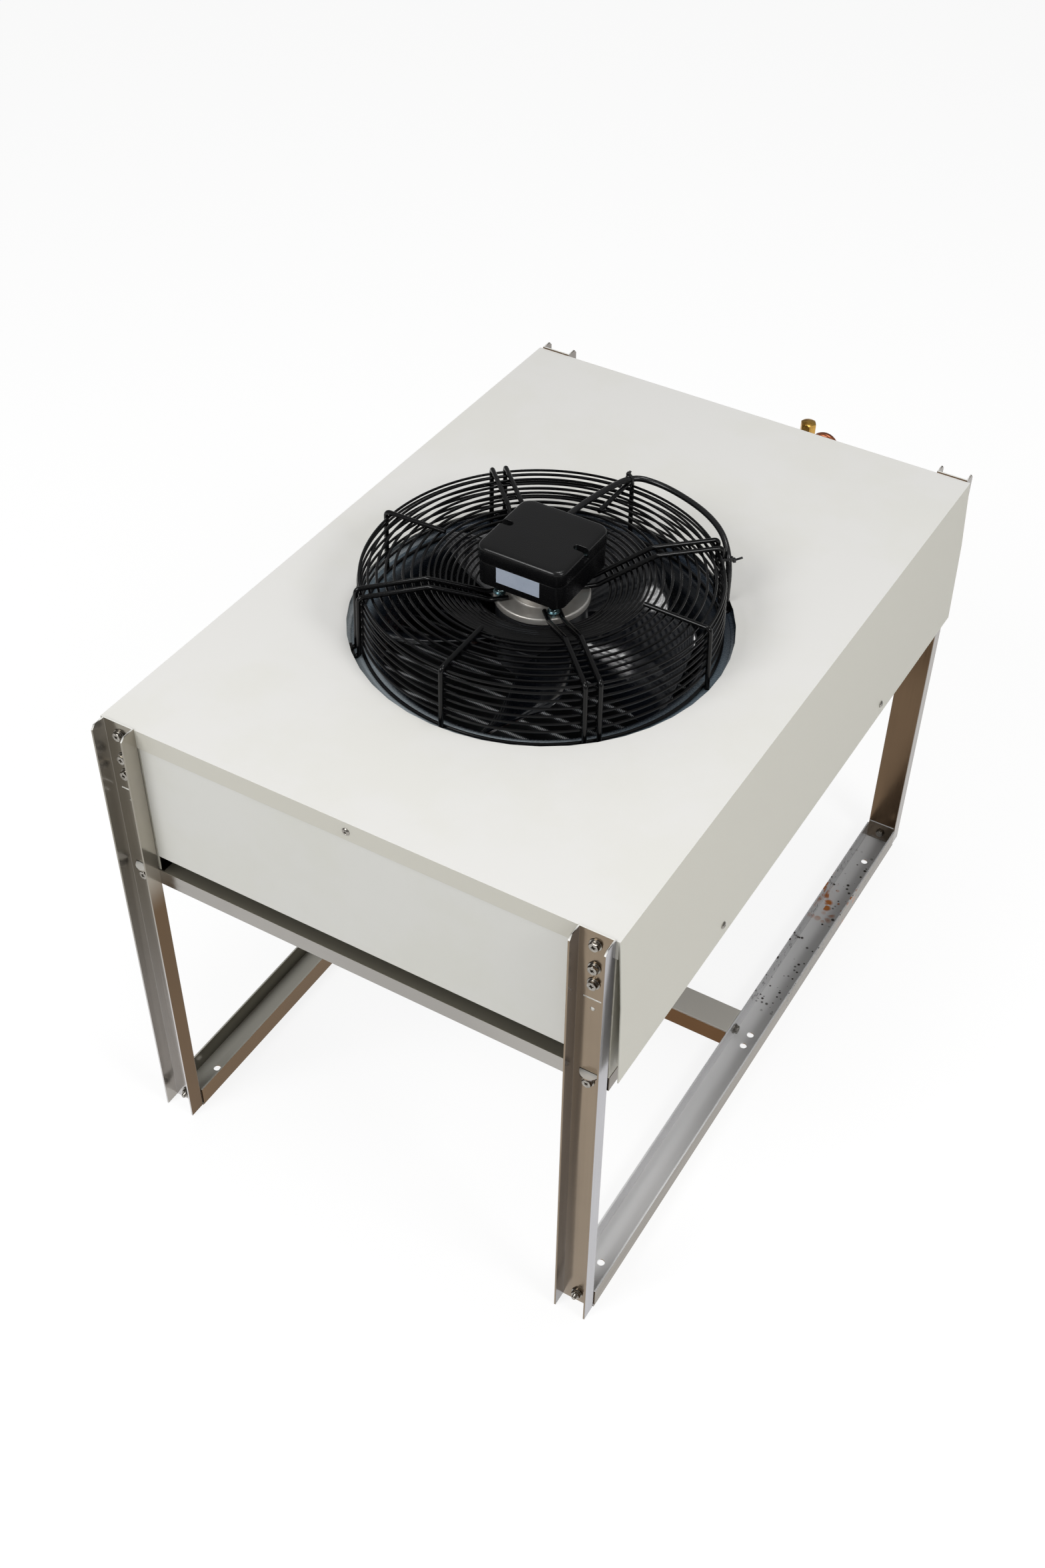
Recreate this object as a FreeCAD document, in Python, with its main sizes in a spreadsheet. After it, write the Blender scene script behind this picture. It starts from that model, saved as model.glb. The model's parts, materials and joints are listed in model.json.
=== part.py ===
"""Remote condenser: a horizontal finned coil in a painted casing on four stainless legs,
with one axial fan under a wire guard.

Millimetres, +Z up. The origin is on the floor, below the centre of the casing. X runs along
the casing's short side, -Y is the front with the single cover screw, +Y the back with the
two pipe ends."""
import FreeCAD, Part
import math
import os
import re
import Sketcher
from FreeCAD import Rotation, Vector

SIZES = {
    # casing
    "case_width": 610,
    "case_length": 890,
    "case_top": 620,
    "cover_sheet": 1.2,
    "side_depth": 201,
    "side_bow": 5.5,
    "side_bow_drop": 90.5,
    "side_flare": 8,
    "flange_depth": 24,
    "panel_drop": 181,
    "panel_return": 12,
    "fan_x": -3,
    "fan_y": -64,
    "opening_radius": 214.5,
    "opening_facets": 45,
    "panel_gap": 1,
    # legs and base
    "leg_width": 40,
    "leg_depth": 20,
    "leg_sheet": 2,
    "leg_inset": 24,
    "leg_rise": 2,
    "leg_corner": 5,
    "leg_bolt_drop": 14,
    "leg_bolt_middle": 46,
    "leg_bolt_low": 68,
    "bar_bolt_rise": 8,
    "foot_bolt_z": 16,
    "lance_rise": 18,
    "lance_radius": 11,
    "lance_slot": 3,
    "lance_bulge": 11.44,
    "slit_drop": 92,
    "peg_hole_drop": 105,
    "peg_hole_radius": 2.5,
    "rail_width": 42,
    "rail_height": 28,
    "rail_tab": 32,
    "rail_sheet": 2,
    "cross_y": 2,
    "cross_width": 43,
    "bar_drop": 223,
    "bar_height": 21,
    "bar_ledge": 30,
    "anchor_inset": 55,
    "anchor_radius": 4.5,
    "pair_half": 10.6,
    # inner frame
    "frame_sheet": 1.5,
    "frame_inset": 3.5,
    "frame_lap": 0.5,
    "channel_flange": 46,
    "beam_depth": 22,
    "beam_half": 234.5,
    # screws
    "bolt_radius": 3,
    "bolt_flats": 10,
    "bolt_head": 4,
    "washer_radius": 7,
    "washer_sheet": 1.4,
    "hole_play": 0.3,
    "bolt_length": 10,
    "screw_length": 8,
    "screw_radius": 2,
    "screw_head": 4.4,
    "screw_rise": 2,
    "side_screw_inset": 231,
    "side_screw_rise": 18,
    "side_screw_lift": 0.2,
    # coil
    "coil_inset": 43,
    "coil_clearance": 6,
    "column_pitch": 25.4,
    "row_pitch": 22,
    "coil_end_room": 38,
    "rows": 3,
    "circuits": 4,
    "tube_radius": 4.76,
    "tube_wall": 0.36,
    "tube_stub": 3,
    "plate_rise": 2,
    "fin_height": 66,
    "end_plate_sheet": 1.5,
    # pipes
    "gas_radius": 8,
    "liquid_radius": 5,
    "pipe_wall": 0.8,
    "grommet_wall": 2,
    "grommet_length": 6,
    "grommet_lip": 0.8,
    "grommet_lip_length": 1.5,
    "header_inset": 37,
    "gas_run_inset": 22,
    "liquid_run_inset": 25,
    "gas_header_radius": 11,
    "liquid_header_radius": 8,
    "gas_header_inset": 31,
    "gas_header_drop": 114,
    "gas_bend": 13.6,
    "liquid_header_inset": 14.5,
    "liquid_header_drop": 90,
    "liquid_bend": 10,
    "valve_x": 75,
    "valve_reach": 31,
    "gas_exit_drop": 64,
    "liquid_exit_x": 92.6,
    "liquid_exit_reach": 13,
    "liquid_exit_drop": 45,
    "neck_span": 28,
    "neck_drop": 7.3,
    "pipe_end_drop": 140,
    "valve_block": 24,
    "valve_block_height": 36,
    "valve_block_rise": 16,
    "valve_block_corner": 2,
    "valve_collar": 3,
    "valve_collar_height": 5,
    "socket_wall": 2,
    "socket_height": 8,
    "port_radius": 4.5,
    "port_length": 10,
    "port_drop": 12.6,
    "port_flats": 12,
    "port_cap": 7,
    "valve_neck": 7.5,
    "valve_neck_drop": 20,
    "valve_cap_bottom_drop": 30,
    "valve_cap_flats": 18,
    "valve_cap_drop": 4,
    "valve_cap_dome": 18.7,
    "valve_cap_wall": 3.5,
    "valve_stem": 3.5,
    "valve_stem_rise": 2,
    "valve_key_flats": 4.6,
    "valve_key_height": 6,
    "valve_seat_gap": 1,
    # fan
    "ring_sheet": 1.5,
    "plate_half": 246,
    "seat_radius": 221,
    "seat_drop": 12,
    "seat_lap": 12,
    "throat_radius": 179,
    "mouth_radius": 18,
    "throat_drop": 75,
    "wire_radius": 1.5,
    "arm_radius": 2.75,
    "guard_rise": 67,
    "guard_radius": 202.5,
    "guard_foot": 205.2,
    "knee_radius": 126,
    "knee_rise": 1.5,
    "arm_spacing": 16,
    "ring_pitch": 9.45,
    "slope_pitch": 6.1,
    "slope_rings": 9,
    "slope_start": 3,
    "clip_radius": 214.5,
    "clip_length": 9,
    "side_pitch": 9.9,
    "side_rings": 6,
    "side_start": 6,
    "base_wire_radius": 2,
    "weld_play": 0.15,
    "foot_bend": 4.5,
    "knee_bend": 14,
    "clip_sheet": 1.5,
    "motor_radius": 53.5,
    "motor_cheek": 8,
    "motor_screw_inset": 6,
    "throat_bore": 9,
    "motor_face_rise": 38,
    "rotor_radius": 51,
    "rotor_wall": 5,
    "rotor_edge": 4,
    "rotor_hub": 12,
    "rotor_hub_height": 20,
    "rotor_gap": 3,
    "cage_wall": 3.4,
    "cage_rise": 2,
    "rotor_drop": 48,
    "stator_drop": 16,
    "stator_height": 30,
    "winding_height": 7,
    "winding_inset": 3,
    "bearing_tube_wall": 4,
    "bearing_step": 8,
    "shaft_radius": 5,
    "bearing_radius": 13,
    "bearing_width": 8,
    "run_clearance": 0.03,
    "air_gap": 0.6,
    "blade_count": 5,
    "blade_drop": 20,
    "blade_sheet": 2.2,
    "root_chord": 66,
    "tip_chord": 132,
    "root_pitch_angle": 42,
    "tip_pitch_angle": 38,
    "blade_sweep_angle": -12,
    "blade_rest_angle": 12,
    "blade_camber": 0.08,
    "tip_gap": 4,
    # terminal box and cable
    "box_side": 105,
    "box_bottom_rise": 62,
    "box_top_rise": 110,
    "box_wall": 2.5,
    "box_corner": 12,
    "lid_height": 18,
    "lid_lip": 1,
    "notch_reach": 16,
    "notch_width": 9,
    "post_side": 12,
    "label_sheet": 0.4,
    "label_drop": 2,
    "block_length": 34,
    "block_width": 14,
    "block_height": 12,
    "block_y": 29,
    "capacitor_radius": 11,
    "capacitor_length": 46,
    "capacitor_y": 28,
    "label_width": 53,
    "label_height": 19,
    "gland_radius": 6,
    "gland_x": -18,
    "gland_rise": 80,
    "gland_nut": 5,
    "gland_reach": 10,
    "junction_side": 60,
    "junction_height": 44,
    "junction_depth": 28,
    "junction_drop": 45.5,
    "cable_radius": 3.5,
    "cable_drop_radius": 209.6,
    "cable_drop_angle": 40.3,
    "tie_width": 3,
    "tie_sheet": 0.9,
    "tie_play": 0.9,
}
# Places that follow from those sizes
PLACES = {
    "bar_bottom": "case_top - bar_drop",
    "panel_bottom": "case_top - panel_drop",
    "bar_bolt_z": "bar_bottom + bar_bolt_rise",
    "lance_z": "bar_bottom + lance_rise",
    "slit_z": "case_top - slit_drop",
    "peg_hole_z": "case_top - peg_hole_drop",
    "seat_z": "case_top - seat_drop",
    "throat_bottom": "case_top - throat_drop",
    "guard_top": "case_top + guard_rise",
    "motor_face": "case_top + motor_face_rise",
    "rotor_bottom": "case_top - rotor_drop",
    "stator_bottom": "case_top - stator_drop",
    "blade_z": "case_top - blade_drop",
    "box_bottom": "case_top + box_bottom_rise",
    "box_top": "case_top + box_top_rise",
    "gland_z": "case_top + gland_rise",
    "gas_header_z": "case_top - gas_header_drop",
    "gas_exit_z": "case_top - gas_exit_drop",
    "liquid_header_z": "case_top - liquid_header_drop",
    "liquid_exit_z": "case_top - liquid_exit_drop",
    "neck_top": "case_top - neck_drop",
    "pipe_end_z": "case_top - pipe_end_drop",
    "valve_neck_top": "case_top - valve_neck_drop",
    "valve_cap_bottom": "case_top - valve_cap_bottom_drop",
    "valve_cap_top": "case_top - valve_cap_drop",
    "leg_x": "case_width / 2 - leg_inset",
    "frame_x": "case_width / 2 - frame_inset",
    "coil_half": "case_width / 2 - coil_inset",
    "gas_header_x": "case_width / 2 - gas_header_inset",
    "liquid_header_x": "case_width / 2 - liquid_header_inset",
    "anchor_y": "case_length / 2 - anchor_inset",
    "side_screw_y": "case_length / 2 - side_screw_inset",
    "header_reach": "case_length / 2 - header_inset",
    "header_run_gas_y": "case_length / 2 - gas_run_inset",
    "header_run_liquid_y": "case_length / 2 - liquid_run_inset",
    "valve_y": "case_length / 2 + valve_reach",
    "liquid_exit_y": "case_length / 2 + liquid_exit_reach",
    "columns": "floor((case_length - 2 * coil_end_room) / (column_pitch * circuits)) * circuits",
}

os.makedirs("parts", exist_ok=True)
doc = FreeCAD.newDocument("RemoteCondenser")
sheet = doc.addObject("Spreadsheet::Sheet", "Sizes")
for row, alias in enumerate([*SIZES, *PLACES], 1):
    sheet.set(f"A{row}", alias)
    sheet.setAlias(f"B{row}", alias)
    sheet.set(f"B{row}", str(SIZES[alias]) if alias in SIZES else "=" + PLACES[alias])
doc.recompute()

X_AXIS = Vector(1, 0, 0)
Y_AXIS = Vector(0, 1, 0)
Z_AXIS = Vector(0, 0, 1)
TOWARD = {"+Z": (Z_AXIS, 0), "-Z": (X_AXIS, 180), "+X": (Y_AXIS, 90), "-X": (Y_AXIS, -90),
          "+Y": (X_AXIS, -90), "-Y": (X_AXIS, 90)}
SIDES = (("left", -1, "-X"), ("right", 1, "+X"))
ENDS = (("front", -1, "-Y"), ("back", 1, "+Y"))
nodes = []


def bound(text):
    """The expression with the sheet's name before each size."""
    return re.sub(r"[a-z_]+", lambda found: "Sizes." + found.group(0)
                  if found.group(0) in SIZES or found.group(0) in PLACES else found.group(0),
                  str(text))


def number(text):
    """The value of an expression in the sheet's sizes."""
    found = sheet.evalExpression(bound(text))
    return float(getattr(found, "Value", found))


def node(item, name):
    """Name a finished sub-part, which is written to its own file."""
    item.Label = name
    nodes.append(item)
    return item


def place(item, x="0", y="0", z="0", axis=Z_AXIS, angle=0):
    item.Placement = FreeCAD.Placement(Vector(), Rotation(axis, angle))
    for key, text in (("x", x), ("y", y), ("z", z)):
        item.setExpression("Placement.Base." + key, bound(text))
    return item


def block(name, size, corner):
    """A box from its three lengths and its low corner."""
    item = doc.addObject("Part::Box", name)
    for key, text in zip(("Length", "Width", "Height"), size):
        item.setExpression(key, bound(text))
    return place(item, *corner)


def rod(name, radius, length, foot, toward="+Z"):
    """A cylinder from its foot point along one of the six directions."""
    item = doc.addObject("Part::Cylinder", name)
    item.setExpression("Radius", bound(radius))
    item.setExpression("Height", bound(length))
    axis, angle = TOWARD[toward]
    return place(item, *foot, axis=axis, angle=angle)


def cut(name, base, *tools):
    tool = tools[0] if len(tools) == 1 else join(name + "Tools", *tools)
    item = doc.addObject("Part::Cut", name)
    item.Base = base
    item.Tool = tool
    return item


def join(name, *parts):
    item = doc.addObject("Part::MultiFuse", name)
    item.Shapes = list(parts)
    return item


def sketch(owner, name, role, corners, offset="0"):
    """A closed outline on one of the body's origin planes.

    Each corner is (x, y), or (x, y, radius, side) where an arc leads to the next corner. It
    bulges to the right of the way round where side is 1 and to the left where it is -1."""
    plane = next(f for f in owner.Origin.OriginFeatures if f.Role == role)
    item = owner.newObject("Sketcher::SketchObject", name)
    item.AttachmentSupport = [(plane, "")]
    item.MapMode = "FlatFace"
    item.setExpression("AttachmentOffset.Base.z", bound(offset))
    spots = [Vector(number(c[0]), number(c[1]), 0) for c in corners]
    for i, corner in enumerate(corners):
        start, end = spots[i], spots[(i + 1) % len(corners)]
        if len(corner) == 2:
            item.addGeometry(Part.LineSegment(start, end), False)
            continue
        radius = number(corner[2])
        half = (end - start) * 0.5
        side = Vector(half.y, -half.x, 0).normalize() * corner[3]
        rise = radius - math.sqrt(radius ** 2 - half.Length ** 2)
        if corner[3] < 0:
            start, end, half = end, start, -half
        item.addGeometry(Part.Arc(start, start + half + side * rise, end), False)
    for i, corner in enumerate(corners):
        arc = len(corner) == 4
        flipped = arc and corner[3] < 0
        first = 2 if flipped else 1
        for kind, text, value in (("DistanceX", corner[0], spots[i].x),
                                  ("DistanceY", corner[1], spots[i].y)):
            index = item.addConstraint(Sketcher.Constraint(kind, -1, 1, i, first, value))
            item.setExpression(f"Constraints[{index}]", bound(text))
        if arc:
            index = item.addConstraint(Sketcher.Constraint("Radius", i, number(corner[2])))
            item.setExpression(f"Constraints[{index}]", bound(corner[2]))
        before = (i - 1) % len(corners)
        was_arc = len(corners[before]) == 4
        was_flipped = was_arc and corners[before][3] < 0
        last = 1 if was_flipped else 2
        item.addConstraint(Sketcher.Constraint("Coincident", before, last, i, first))
    return item


def new_body(name, x="0", y="0", z="0", axis=Z_AXIS, angle=0):
    return place(doc.addObject("PartDesign::Body", name), x, y, z, axis, angle)


def pad(owner, outline, length, middle=False):
    item = owner.newObject("PartDesign::Pad", outline.Name + "Pad")
    item.Profile = outline
    item.Midplane = middle
    item.setExpression("Length", bound(length))
    return item


def pocket(owner, outline, length, middle=False, turned=False):
    item = owner.newObject("PartDesign::Pocket", outline.Name + "Pocket")
    item.Profile = outline
    item.Midplane = middle
    item.Reversed = turned
    item.setExpression("Length", bound(length))
    return item


def revolve(owner, outline):
    """A full turn of an outline on the XZ plane about its own vertical axis."""
    item = owner.newObject("PartDesign::Revolution", outline.Name + "Turn")
    item.Profile = outline
    item.ReferenceAxis = (outline, ["V_Axis"])
    item.Angle = 360
    return item


def rectangle(x0, y0, x1, y1):
    return [(x0, y0), (x1, y0), (x1, y1), (x0, y1)]


def group(name, label, *items):
    """Separate solids that share one node."""
    item = doc.addObject("Part::Compound", name)
    item.Links = list(items)
    return node(item, label)


def made(name, shape):
    """A sub-part whose shape comes from the sizes by Part's own functions."""
    item = doc.addObject("Part::Feature", name)
    item.Shape = shape
    return item


def turned_body(name, outline):
    """A turned piece on the fan's axis, its outline given as radius and height."""
    owner = new_body(name, "fan_x", "fan_y")
    revolve(owner, sketch(owner, name + "Outline", "XZ_Plane", outline))
    return owner


def tube(radius, wall, foot, direction, length):
    outer = Part.makeCylinder(radius, length, foot, direction)
    return outer.cut(Part.makeCylinder(radius - wall, length, foot, direction))


def path(points, radii):
    """A wire of straight runs with a tangent arc at each inner point."""
    edges = []
    here = points[0]
    for before, corner, after, radius in zip(points, points[1:], points[2:], radii):
        inward = (corner - before).normalize()
        outward = (after - corner).normalize()
        turn = inward.getAngle(outward)
        reach = radius * math.tan(turn / 2)
        start, end = corner - inward * reach, corner + outward * reach
        middle = (outward - inward).normalize()
        centre = corner + middle * (radius / math.cos(turn / 2))
        if (start - here).Length > 1e-4:
            edges.append(Part.LineSegment(here, start).toShape())
        edges.append(Part.Arc(start, centre - middle * radius, end).toShape())
        here = end
    edges.append(Part.LineSegment(here, points[-1]).toShape())
    return Part.Wire(edges)


def swept(route, radius):
    """A round solid of the given radius along a wire."""
    first = route.OrderedEdges[0]
    start = first.valueAt(first.FirstParameter)
    along = first.tangentAt(first.FirstParameter)
    ring = Part.Wire([Part.Circle(start, along, radius).toShape()])
    return route.makePipeShell([ring], True, False)


def pipe(points, bends, radius, wall):
    route = path(points, bends)
    return swept(route, radius).cut(swept(route, radius - wall))


def hexagon(flats, height, foot, direction):
    """A hexagonal prism with its foot's centre at foot."""
    corner = flats / math.sqrt(3)
    side = Vector(0, 0, 1) if abs(direction.z) < 0.5 else Vector(1, 0, 0)
    across = direction.cross(side)
    spots = [foot + side * (corner * math.cos(math.radians(60 * k)))
             + across * (corner * math.sin(math.radians(60 * k))) for k in range(7)]
    return Part.Face(Part.makePolygon(spots)).extrude(direction * height)


def bolt(seat, outward, grip, with_nut=False):
    """A hexagon bolt whose washer lies on seat; outward points from the work to the head.
    With a nut, the nut, its washer and the thread end are at the seat, the head at the far
    side."""
    radius = number("bolt_radius")
    flats, head = number("bolt_flats"), number("bolt_head")
    washer, sheet_washer = number("washer_radius"), number("washer_sheet")
    top = seat + outward * sheet_washer
    shape = Part.makeCylinder(washer, sheet_washer, seat, outward)
    shape = shape.fuse(hexagon(flats, head, top, outward))
    if not with_nut:
        return shape.fuse(Part.makeCylinder(radius, grip, seat, outward * -1)).removeSplitter()
    far = seat - outward * grip
    shape = shape.fuse(Part.makeCylinder(radius, grip + sheet_washer + 2 * head,
                                         far, outward))
    return shape.fuse(hexagon(flats, head, far, outward * -1)).removeSplitter()


def round_screw(seat, outward, grip):
    """A low round-headed screw whose head lies on seat."""
    radius, head, rise = number("screw_radius"), number("screw_head"), number("screw_rise")
    crown = Part.makeCylinder(head, rise, seat, outward)
    crown = crown.makeFillet(rise * 0.6, [edge for edge in crown.Edges
                                          if (edge.CenterOfMass - seat).dot(outward) > rise * 0.9])
    return crown.fuse(Part.makeCylinder(radius, grip, seat, outward * -1))


def build_cover():
    """Painted cover: top, two deep sides that bow outward and two short end flanges."""
    half, wall = "case_width / 2", "cover_sheet"
    low = "case_top - side_depth"
    middle = "case_top - side_bow_drop"
    owner = new_body("CoverShell")
    outline = [
        (f"{half} + side_flare", low), (f"{half} + side_bow", middle), (half, "case_top"),
        (f"-({half})", "case_top"), (f"-({half}) - side_bow", middle),
        (f"-({half}) - side_flare", low), (f"-({half}) - side_flare + {wall}", low),
        (f"-({half}) - side_bow + {wall}", middle), (f"-({half}) + {wall}", f"case_top - {wall}"),
        (f"{half} - {wall}", f"case_top - {wall}"), (f"{half} + side_bow - {wall}", middle),
        (f"{half} + side_flare - {wall}", low)]
    pad(owner, sketch(owner, "CoverOutline", "XZ_Plane", outline), "case_length", middle=True)
    parts = [owner]
    for name, y in (("Front", "-case_length / 2"), ("Back", "case_length / 2 - cover_sheet")):
        parts.append(block("CoverFlange" + name,
                           ("case_width - 2 * cover_sheet", "cover_sheet", "flange_depth"),
                           ("cover_sheet - case_width / 2", y, "case_top - flange_depth")))
    opening = doc.addObject("Part::Prism", "FanOpening")
    opening.setExpression("Polygon", bound("opening_facets"))
    opening.setExpression("Circumradius", bound("opening_radius"))
    opening.setExpression("Height", bound("4 * cover_sheet"))
    place(opening, "fan_x", "fan_y", "case_top - 2 * cover_sheet", angle=4)
    tools = [opening]
    for end, sign_y, out_y in ENDS:
        face = f"{sign_y} * (case_length / 2 - 3 * cover_sheet)"
        tools.append(rod("CoverScrewHole" + end, "screw_radius + hole_play", "6 * cover_sheet",
                         ("0", face, "case_top - flange_depth / 2"), out_y))
        for side, sign_x, out_x in SIDES:
            tools.append(rod(f"CoverLegHole{end}{side}", "bolt_radius + hole_play",
                             "6 * cover_sheet",
                             (f"{sign_x} * leg_x", face, "case_top - leg_bolt_drop"), out_y))
            tools.append(rod(f"CoverSideHole{end}{side}", "screw_radius + hole_play",
                             "side_flare + 6 * cover_sheet",
                             (f"{sign_x} * (case_width / 2 - 3 * cover_sheet)",
                              f"{sign_y} * side_screw_y",
                              "case_top - side_depth + side_screw_rise"), out_x))
    node(cut("TopCover", join("CoverWhole", *parts), *tools), "top_cover")


def build_panel(end, sign, outward):
    """Painted end panel behind the cover's flange, with returned side and bottom edges."""
    half = "leg_x - leg_width / 2 - panel_gap"
    face = f"{sign} * (case_length / 2 - cover_sheet)"
    inner = f"{face} - {'0' if sign < 0 else 'cover_sheet'}"
    deep = f"{face} - {'0' if sign < 0 else 'panel_return'}"
    top = "case_top - 2 * cover_sheet"
    name = "Panel" + end.title()
    parts = [
        block(name + "Sheet", (f"2 * ({half})", "cover_sheet", f"{top} - panel_bottom"),
              (f"-({half})", inner, "panel_bottom")),
        block(name + "Bottom", (f"2 * ({half})", "panel_return", "cover_sheet"),
              (f"-({half})", deep, "panel_bottom"))]
    for side, sign_x, out_x in SIDES:
        x = f"-({half})" if sign_x < 0 else f"{half} - cover_sheet"
        parts.append(block(f"{name}Return{side}", ("cover_sheet", "panel_return",
                                                   f"{top} - panel_bottom"),
                           (x, deep, "panel_bottom")))
    tools = [rod(name + "ScrewHole", "screw_radius + hole_play", "6 * cover_sheet",
                 ("0", f"{face} - {sign} * 3 * cover_sheet", "case_top - flange_depth / 2"),
                 outward)]
    if sign > 0:
        far = "case_length / 2 - 6 * cover_sheet"
        tools.append(rod("GasPipeHole", "gas_radius + grommet_wall", "9 * cover_sheet",
                         ("valve_x", far, "gas_exit_z"), outward))
        tools.append(rod("LiquidPipeHole", "liquid_radius + grommet_wall", "9 * cover_sheet",
                         ("liquid_exit_x", far, "liquid_exit_z"), outward))
    node(cut(name, join(name + "Whole", *parts), *tools), end + "_panel")


def channel_outline(width, depth, wall):
    """A channel's section: a web on the X axis, flanges toward -Y."""
    half = f"({width}) / 2"
    return [(f"-{half}", "0"), (f"-{half}", f"-({depth})"), (f"{wall} - {half}", f"-({depth})"),
            (f"{wall} - {half}", f"-({wall})"), (f"{half} - {wall}", f"-({wall})"),
            (f"{half} - {wall}", f"-({depth})"), (half, f"-({depth})"), (half, "0")]


def build_leg(end, sign_y, side, sign_x):
    """Stainless channel leg: web against the casing, flanges outward, bolt holes, a slit, a
    peg hole and a half-round tongue bent out of the web."""
    name = "Leg" + end.title() + side.title()
    owner = new_body(name, f"{sign_x} * leg_x", f"{sign_y} * case_length / 2",
                     angle=0 if sign_y < 0 else 180)
    outline = channel_outline("leg_width", "leg_depth", "leg_sheet")
    length = "case_top + leg_rise"
    pad(owner, sketch(owner, name + "Outline", "XY_Plane", outline), length)
    corner = [("-leg_depth", f"{length} - leg_corner"), ("-leg_depth", f"{length} + 1"),
              ("leg_corner - leg_depth", f"{length} + 1"), ("leg_corner - leg_depth", length)]
    pocket(owner, sketch(owner, name + "Corner", "YZ_Plane", corner), "leg_width + 2",
           middle=True)
    slit = rectangle("-lance_radius", "slit_z", "lance_radius", "slit_z + leg_sheet")
    pocket(owner, sketch(owner, name + "Slit", "XZ_Plane", slit), "3 * leg_sheet", middle=True)
    mouth = rectangle("-lance_radius", "lance_z + leg_sheet", "lance_radius",
                      "lance_z + leg_sheet + lance_slot")
    pocket(owner, sketch(owner, name + "Mouth", "XZ_Plane", mouth), "3 * leg_sheet", middle=True)
    tongue = [("-lance_radius", "-leg_sheet", "lance_bulge", 1),
              ("lance_radius", "-leg_sheet")]
    lip = pad(owner, sketch(owner, name + "Tongue", "XY_Plane", tongue, "lance_z"), "leg_sheet")
    owner.Tip = lip
    tools = [rod(name + "PegHole", "peg_hole_radius", "3 * leg_sheet",
                 (f"{sign_x} * leg_x", f"{sign_y} * (case_length / 2 - leg_sheet)",
                  "peg_hole_z"), "-Y" if sign_y < 0 else "+Y")]
    for i, z in enumerate(("case_top - leg_bolt_drop", "case_top - leg_bolt_middle",
                           "case_top - leg_bolt_low", "bar_bolt_z", "foot_bolt_z")):
        tools.append(rod(f"{name}Hole{i}", "bolt_radius + hole_play", "3 * leg_sheet",
                         (f"{sign_x} * leg_x", f"{sign_y} * (case_length / 2 - leg_sheet)", z),
                         "-Y" if sign_y < 0 else "+Y"))
    node(cut(name + "Drilled", owner, *tools), f"leg_{end}_{side}")


def build_rail(side, sign):
    """Bottom rail: an upright channel with an end tab bolted to each leg."""
    name = "Rail" + side.title()
    half = "case_length / 2"
    x0 = f"{sign} * leg_x - rail_width / 2"
    parts = [
        block(name + "Web", ("rail_width", "case_length", "rail_sheet"),
              (x0, f"-{half}", "0")),
        block(name + "Inner", ("rail_sheet", "case_length - 2 * rail_sheet", "rail_height"),
              (x0, f"rail_sheet - {half}", "0")),
        block(name + "Outer", ("rail_sheet", "case_length - 2 * rail_sheet", "rail_height"),
              (f"{sign} * leg_x + rail_width / 2 - rail_sheet", f"rail_sheet - {half}", "0"))]
    tools = []
    for end, sign_y, out_y in ENDS:
        y = f"-{half}" if sign_y < 0 else f"{half} - rail_sheet"
        parts.append(block(f"{name}Tab{end}",
                           ("rail_width - 2 * rail_sheet - panel_gap", "rail_sheet",
                            "rail_tab"),
                           (f"{x0} + rail_sheet + panel_gap / 2", y, "0")))
        tools.append(rod(f"{name}TabHole{end}", "bolt_radius + hole_play", "4 * rail_sheet",
                         (f"{sign} * leg_x", f"{sign_y} * ({half} - 3 * rail_sheet)",
                          "foot_bolt_z"), out_y))
        for kind, y in (("Anchor", f"{sign_y} * anchor_y"),
                        ("Pair", f"cross_y + {sign_y} * pair_half")):
            tools.append(rod(f"{name}{kind}{end}", "anchor_radius", "3 * rail_sheet",
                             (f"{sign} * leg_x", y, "-rail_sheet"), "+Z"))
    tools.append(rod(name + "CrossHole", "bolt_radius + hole_play", "5 * rail_sheet",
                     (f"{sign} * (leg_x - rail_width / 2 - rail_sheet)", "cross_y",
                      "rail_height / 2"), "+X" if sign > 0 else "-X"))
    node(cut(name, join(name + "Whole", *parts), *tools), "base_rail_" + side)


def build_cross_member():
    """Inverted channel between the rails, with an end tab bolted to each rail."""
    half = "(leg_x - rail_width / 2)"
    y0 = "cross_y - cross_width / 2"
    parts = [block("CrossTop", (f"2 * {half}", "cross_width", "rail_sheet"),
                   (f"-{half}", y0, "rail_height - rail_sheet"))]
    for end, y in (("Front", y0), ("Back", f"{y0} + cross_width - rail_sheet")):
        parts.append(block("CrossWall" + end, (f"2 * {half} - 2 * rail_sheet", "rail_sheet",
                                               "rail_height"),
                           (f"rail_sheet - {half}", y, "0")))
    tools = []
    for side, sign, out_x in SIDES:
        x = f"-{half}" if sign < 0 else f"{half} - rail_sheet"
        parts.append(block("CrossTab" + side, ("rail_sheet", "cross_width - 2 * rail_sheet - panel_gap",
                                               "rail_height"),
                           (x, f"{y0} + rail_sheet + panel_gap / 2", "0")))
        tools.append(rod("CrossTabHole" + side, "bolt_radius + hole_play", "4 * rail_sheet",
                         (f"{sign} * ({half} - 3 * rail_sheet)", "cross_y", "rail_height / 2"),
                         out_x))
    node(cut("CrossMember", join("CrossWhole", *parts), *tools), "base_cross_member")


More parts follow.
